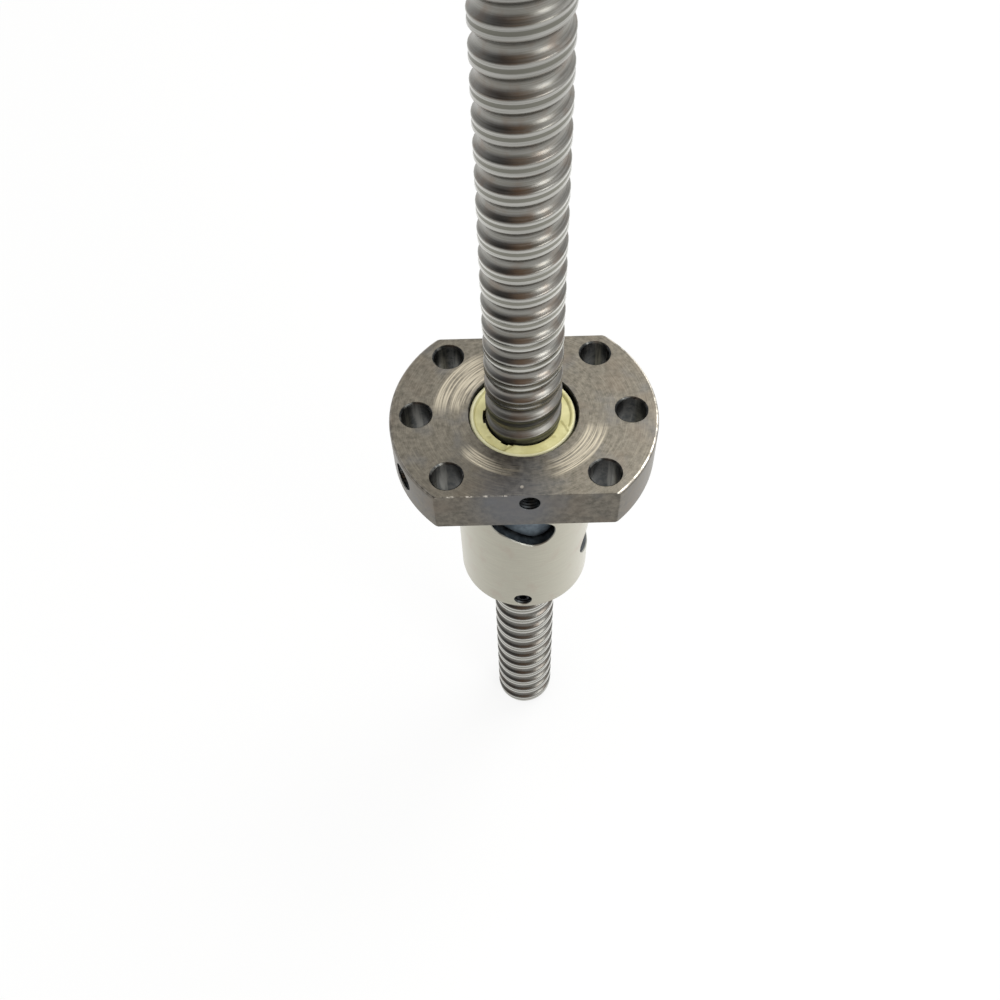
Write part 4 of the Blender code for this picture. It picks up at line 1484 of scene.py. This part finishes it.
@dataclass
class SetScrews:
    """The two hexagon socket set screws that hold the wipers."""

    nut: FlangedNut
    radius: float = 1.25 * MM
    tip_radius: float = 0.75 * MM
    tip_length: float = 0.7 * MM
    pitch: float = 0.5 * MM
    thread_depth: float = 0.2 * MM
    chamfer: float = 0.2 * MM
    socket_width: float = 1.3 * MM
    socket_depth: float = 1.0 * MM
    upper_length: float = 4.0 * MM
    lower_length: float = 3.0 * MM
    sides: int = 36

    def screw(self, name: str, length: float, place: Matrix) -> bpy.types.Object:
        """A set screw with a dog point, made along Z from its tip and then put in its place."""
        outer, root, height = self.radius, self.radius - self.thread_depth, self.tip_length
        points = [(0.0, 0.0), (self.tip_radius, 0.0), (self.tip_radius, height), (root, height)]
        while height < length - self.chamfer - self.pitch:
            points += [(outer, height + self.pitch / 2), (root, height + self.pitch)]
            height += self.pitch
        points += [(outer - self.chamfer, length), (0.0, length)]
        steel = [BlackenedSteel().material()]
        piece = placed(name, turned(points, self.sides), steel)
        hexagon = bmesh.new()
        corner = self.socket_width / 2 / math.cos(math.pi / 6)
        bmesh.ops.create_cone(
            hexagon, cap_ends=True, segments=6, radius1=corner, radius2=corner, depth=2 * self.socket_depth,
            matrix=Matrix.Translation((0.0, 0.0, length)),
        )
        carved(piece, [placed("hexagon_cut", hexagon, steel)])
        piece.data.transform(place)
        return piece

    def build(self) -> None:
        """Make both set screws, each seated against its wiper."""
        nut, wipers = self.nut, self.nut.wipers
        place = nut.upper_hole(wipers.radius + wipers.gap)
        piece = self.screw("upper_grub_screw", self.upper_length, place)
        dress(piece, Body.NUT, ["upper_wiper_set_screw"])
        place = nut.lower_hole(wipers.radius - wipers.groove_depth + wipers.gap)
        piece = self.screw("lower_grub_screw", self.lower_length, place)
        dress(piece, Body.NUT, ["lower_wiper_set_screw"])


# --------------------------------------------------------------------------------------------------
# The studio
# --------------------------------------------------------------------------------------------------


@dataclass(frozen=True)
class SoftBox:
    """A square area lamp that faces the object, placed in degrees and metres."""

    name: str
    azimuth: float
    elevation: float
    distance: float
    size: float
    watts: float

    def build(self, target: Vector) -> None:
        """Make the lamp at its place round the target, facing it."""
        lamp = bpy.data.lights.new(self.name, "AREA")
        lamp.shape = "SQUARE"
        lamp.size = self.size
        lamp.energy = self.watts
        azimuth, elevation = math.radians(self.azimuth), math.radians(self.elevation)
        flat = math.cos(elevation)
        away = Vector((flat * math.cos(azimuth), flat * math.sin(azimuth), math.sin(elevation)))
        held = bpy.data.objects.new(self.name, lamp)
        bpy.context.scene.collection.objects.link(held)
        turn = away.to_track_quat("Z", "Y").to_matrix().to_4x4()
        held.matrix_world = Matrix.Translation(target + away * self.distance) @ turn


@dataclass
class Studio:
    """A white floor, soft lamps, a room that is dark at the front left, and the camera."""

    target: Vector = field(default_factory=lambda: Vector((0.0, 0.0, 0.09)))
    floor_size: float = 3.0
    floor_white: str = "#F4F4F2"
    floor_share: float = 0.82
    floor_level: float = 1.18
    floor_slope: Place = (0.12, 0.26, 0.0)
    room_level: float = 0.84
    room_gain: float = 2.1
    white: str = "#FFFFFF"
    grey: str = "#CECECA"
    dim: str = "#98989A"
    dark: str = "#2E2E30"
    # What metal sees round it: direction, cosines of the angle at its edge and at its core, colour
    patches: tuple[tuple[Place, float, float, str], ...] = (
        ((0.9, 0.1, 0.42), 0.6, 0.95, "#98989A"),
        ((0.15, 0.48, 0.86), 0.9, 0.985, "#E2E2DF"),
        ((0.0, 1.0, -0.1), 0.6, 0.86, "#B8B8B8"),
        ((0.72, -0.65, 0.25), 0.8, 0.95, "#B8B8B8"),
        ((-0.17, -0.74, 0.65), 0.88, 0.975, "#786352"),
    )
    lamps: tuple[SoftBox, ...] = (
        SoftBox("window_softbox", azimuth=-48.0, elevation=24.0, distance=0.7, size=0.3, watts=1.4),
        SoftBox("right_back_softbox", azimuth=40.0, elevation=55.0, distance=0.8, size=0.4, watts=2.0),
    )
    lens: float = 38.085
    sensor: float = 36.0
    near: float = 0.005
    eye: Place = (-2.5105 * MM, -98.8922 * MM, 216.0294 * MM)
    eye_right: Place = (0.99964141, -0.01631067, -0.02123729)
    eye_down: Place = (-0.02542854, -0.8267944, -0.56192918)
    eye_ahead: Place = (-0.00839343, 0.56226771, -0.82691267)

    def build_room(self) -> None:
        """Light from all round: white to the camera, and to metal a pale room with a dark front left."""
        world = bpy.data.worlds.new("pale_room")
        bpy.context.scene.world = world
        world.use_nodes = True
        nodes = Nodes(world.node_tree)
        towards = nodes.node("TexCoord").outputs["Generated"]
        rays = nodes.node("LightPath").outputs

        def lobe(axis: Place, edge: float, core: float) -> Socket:
            """How far a direction lies inside a round patch of the room."""
            return nodes.ramp(nodes.measure("DOT_PRODUCT", towards, Vector(axis).normalized()), edge, core)

        room = nodes.blend(lobe((1.0, 0.0, 0.0), -0.3, 0.3), self.dim, self.grey)
        upper = lobe((0.0, 0.0, 1.0), -0.05, 0.42)
        front_left = lobe((-0.55, -0.7, 0.45), 0.2, 0.8)
        room = nodes.blend(nodes.times(front_left, upper), room, self.dark)
        for axis, edge, core, tone in self.patches:
            room = nodes.blend(lobe(axis, edge, core), room, tone)
        room = nodes.vector("SCALE", room, Scale=self.room_gain)
        level = [self.room_level] * 3 + [1.0]
        seen = nodes.most(rays["Is Camera Ray"], rays["Is Transmission Ray"])
        colour = nodes.blend(rays["Is Glossy Ray"], level, room)
        colour = nodes.blend(seen, colour, self.white)
        ground = nodes.tree.nodes["Background"]
        nodes.tree.links.new(colour, ground.inputs["Color"])
        ground.inputs["Strength"].default_value = 1.0

    def build_floor(self) -> None:
        """A white floor that shows only a faint shadow."""
        shape = bmesh.new()
        bmesh.ops.create_grid(shape, x_segments=1, y_segments=1, size=self.floor_size)
        material = bpy.data.materials.new("white_floor")
        material.use_nodes = True
        nodes = Nodes(material.node_tree)
        shader = nodes.tree.nodes["Principled BSDF"]
        shader.inputs["Base Color"].default_value = linear(self.floor_white)
        shader.inputs["Roughness"].default_value = 1.0
        shader.inputs["Specular IOR Level"].default_value = 0.0
        rays = nodes.node("LightPath").outputs
        glow = nodes.node("Emission", {"Color": linear(self.white), "Strength": 1.0})
        share = nodes.times(rays["Is Camera Ray"], self.floor_share)
        mix = nodes.node("MixShader", {0: share, 1: shader.outputs[0], 2: glow.outputs[0]})
        # To metal the floor glows with painted light, brighter on the right and behind, and a painted
        # shadow dims it in front, where somebody would stand
        towards = nodes.vector("NORMALIZE", nodes.node("TexCoord").outputs["Object"])
        slope = nodes.measure("DOT_PRODUCT", towards, self.floor_slope)
        level = nodes.plus(slope, self.floor_level)
        sheen = nodes.node("Emission", {"Color": linear(self.white), "Strength": level})
        mix = nodes.node("MixShader", {0: rays["Is Glossy Ray"], 1: mix.outputs[0], 2: sheen.outputs[0]})
        nodes.tree.links.new(mix.outputs[0], nodes.tree.nodes["Material Output"].inputs["Surface"])
        placed("floor", shape, [material])

    def build_camera(self) -> None:
        """The camera, where the photograph was taken from."""
        camera = bpy.data.cameras.new("camera")
        camera.lens = self.lens
        camera.sensor_width = self.sensor
        camera.clip_start = self.near
        held = bpy.data.objects.new("camera", camera)
        bpy.context.scene.collection.objects.link(held)
        right, down, ahead = Vector(self.eye_right), Vector(self.eye_down), Vector(self.eye_ahead)
        turn = Matrix((right, -down, -ahead)).transposed().to_4x4()
        held.matrix_world = Matrix.Translation(self.eye) @ turn
        bpy.context.scene.camera = held

    def build(self) -> None:
        """Make the whole studio."""
        self.build_room()
        self.build_floor()
        for lamp in self.lamps:
            lamp.build(self.target)
        self.build_camera()
        bpy.context.scene.view_settings.view_transform = "Standard"


def main() -> None:
    """Dress the ball screw and set it in the studio."""
    logging.basicConfig(level=logging.INFO, format="%(name)s %(relativeCreated)d ms: %(message)s")
    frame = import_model()
    thread = BallThread()
    circuits = BallCircuits(thread)
    wipers = Wipers(thread)
    inserts = ReturnInserts(thread, circuits)
    nut = FlangedNut(thread, wipers, inserts)
    ScrewShaft(thread).build()
    nut.build()
    inserts.build()
    circuits.build(sorted(frame["nodes"]))
    wipers.build_upper()
    wipers.build_lower()
    SetScrews(nut).build()
    Studio().build()


if __name__ == "__main__":
    main()
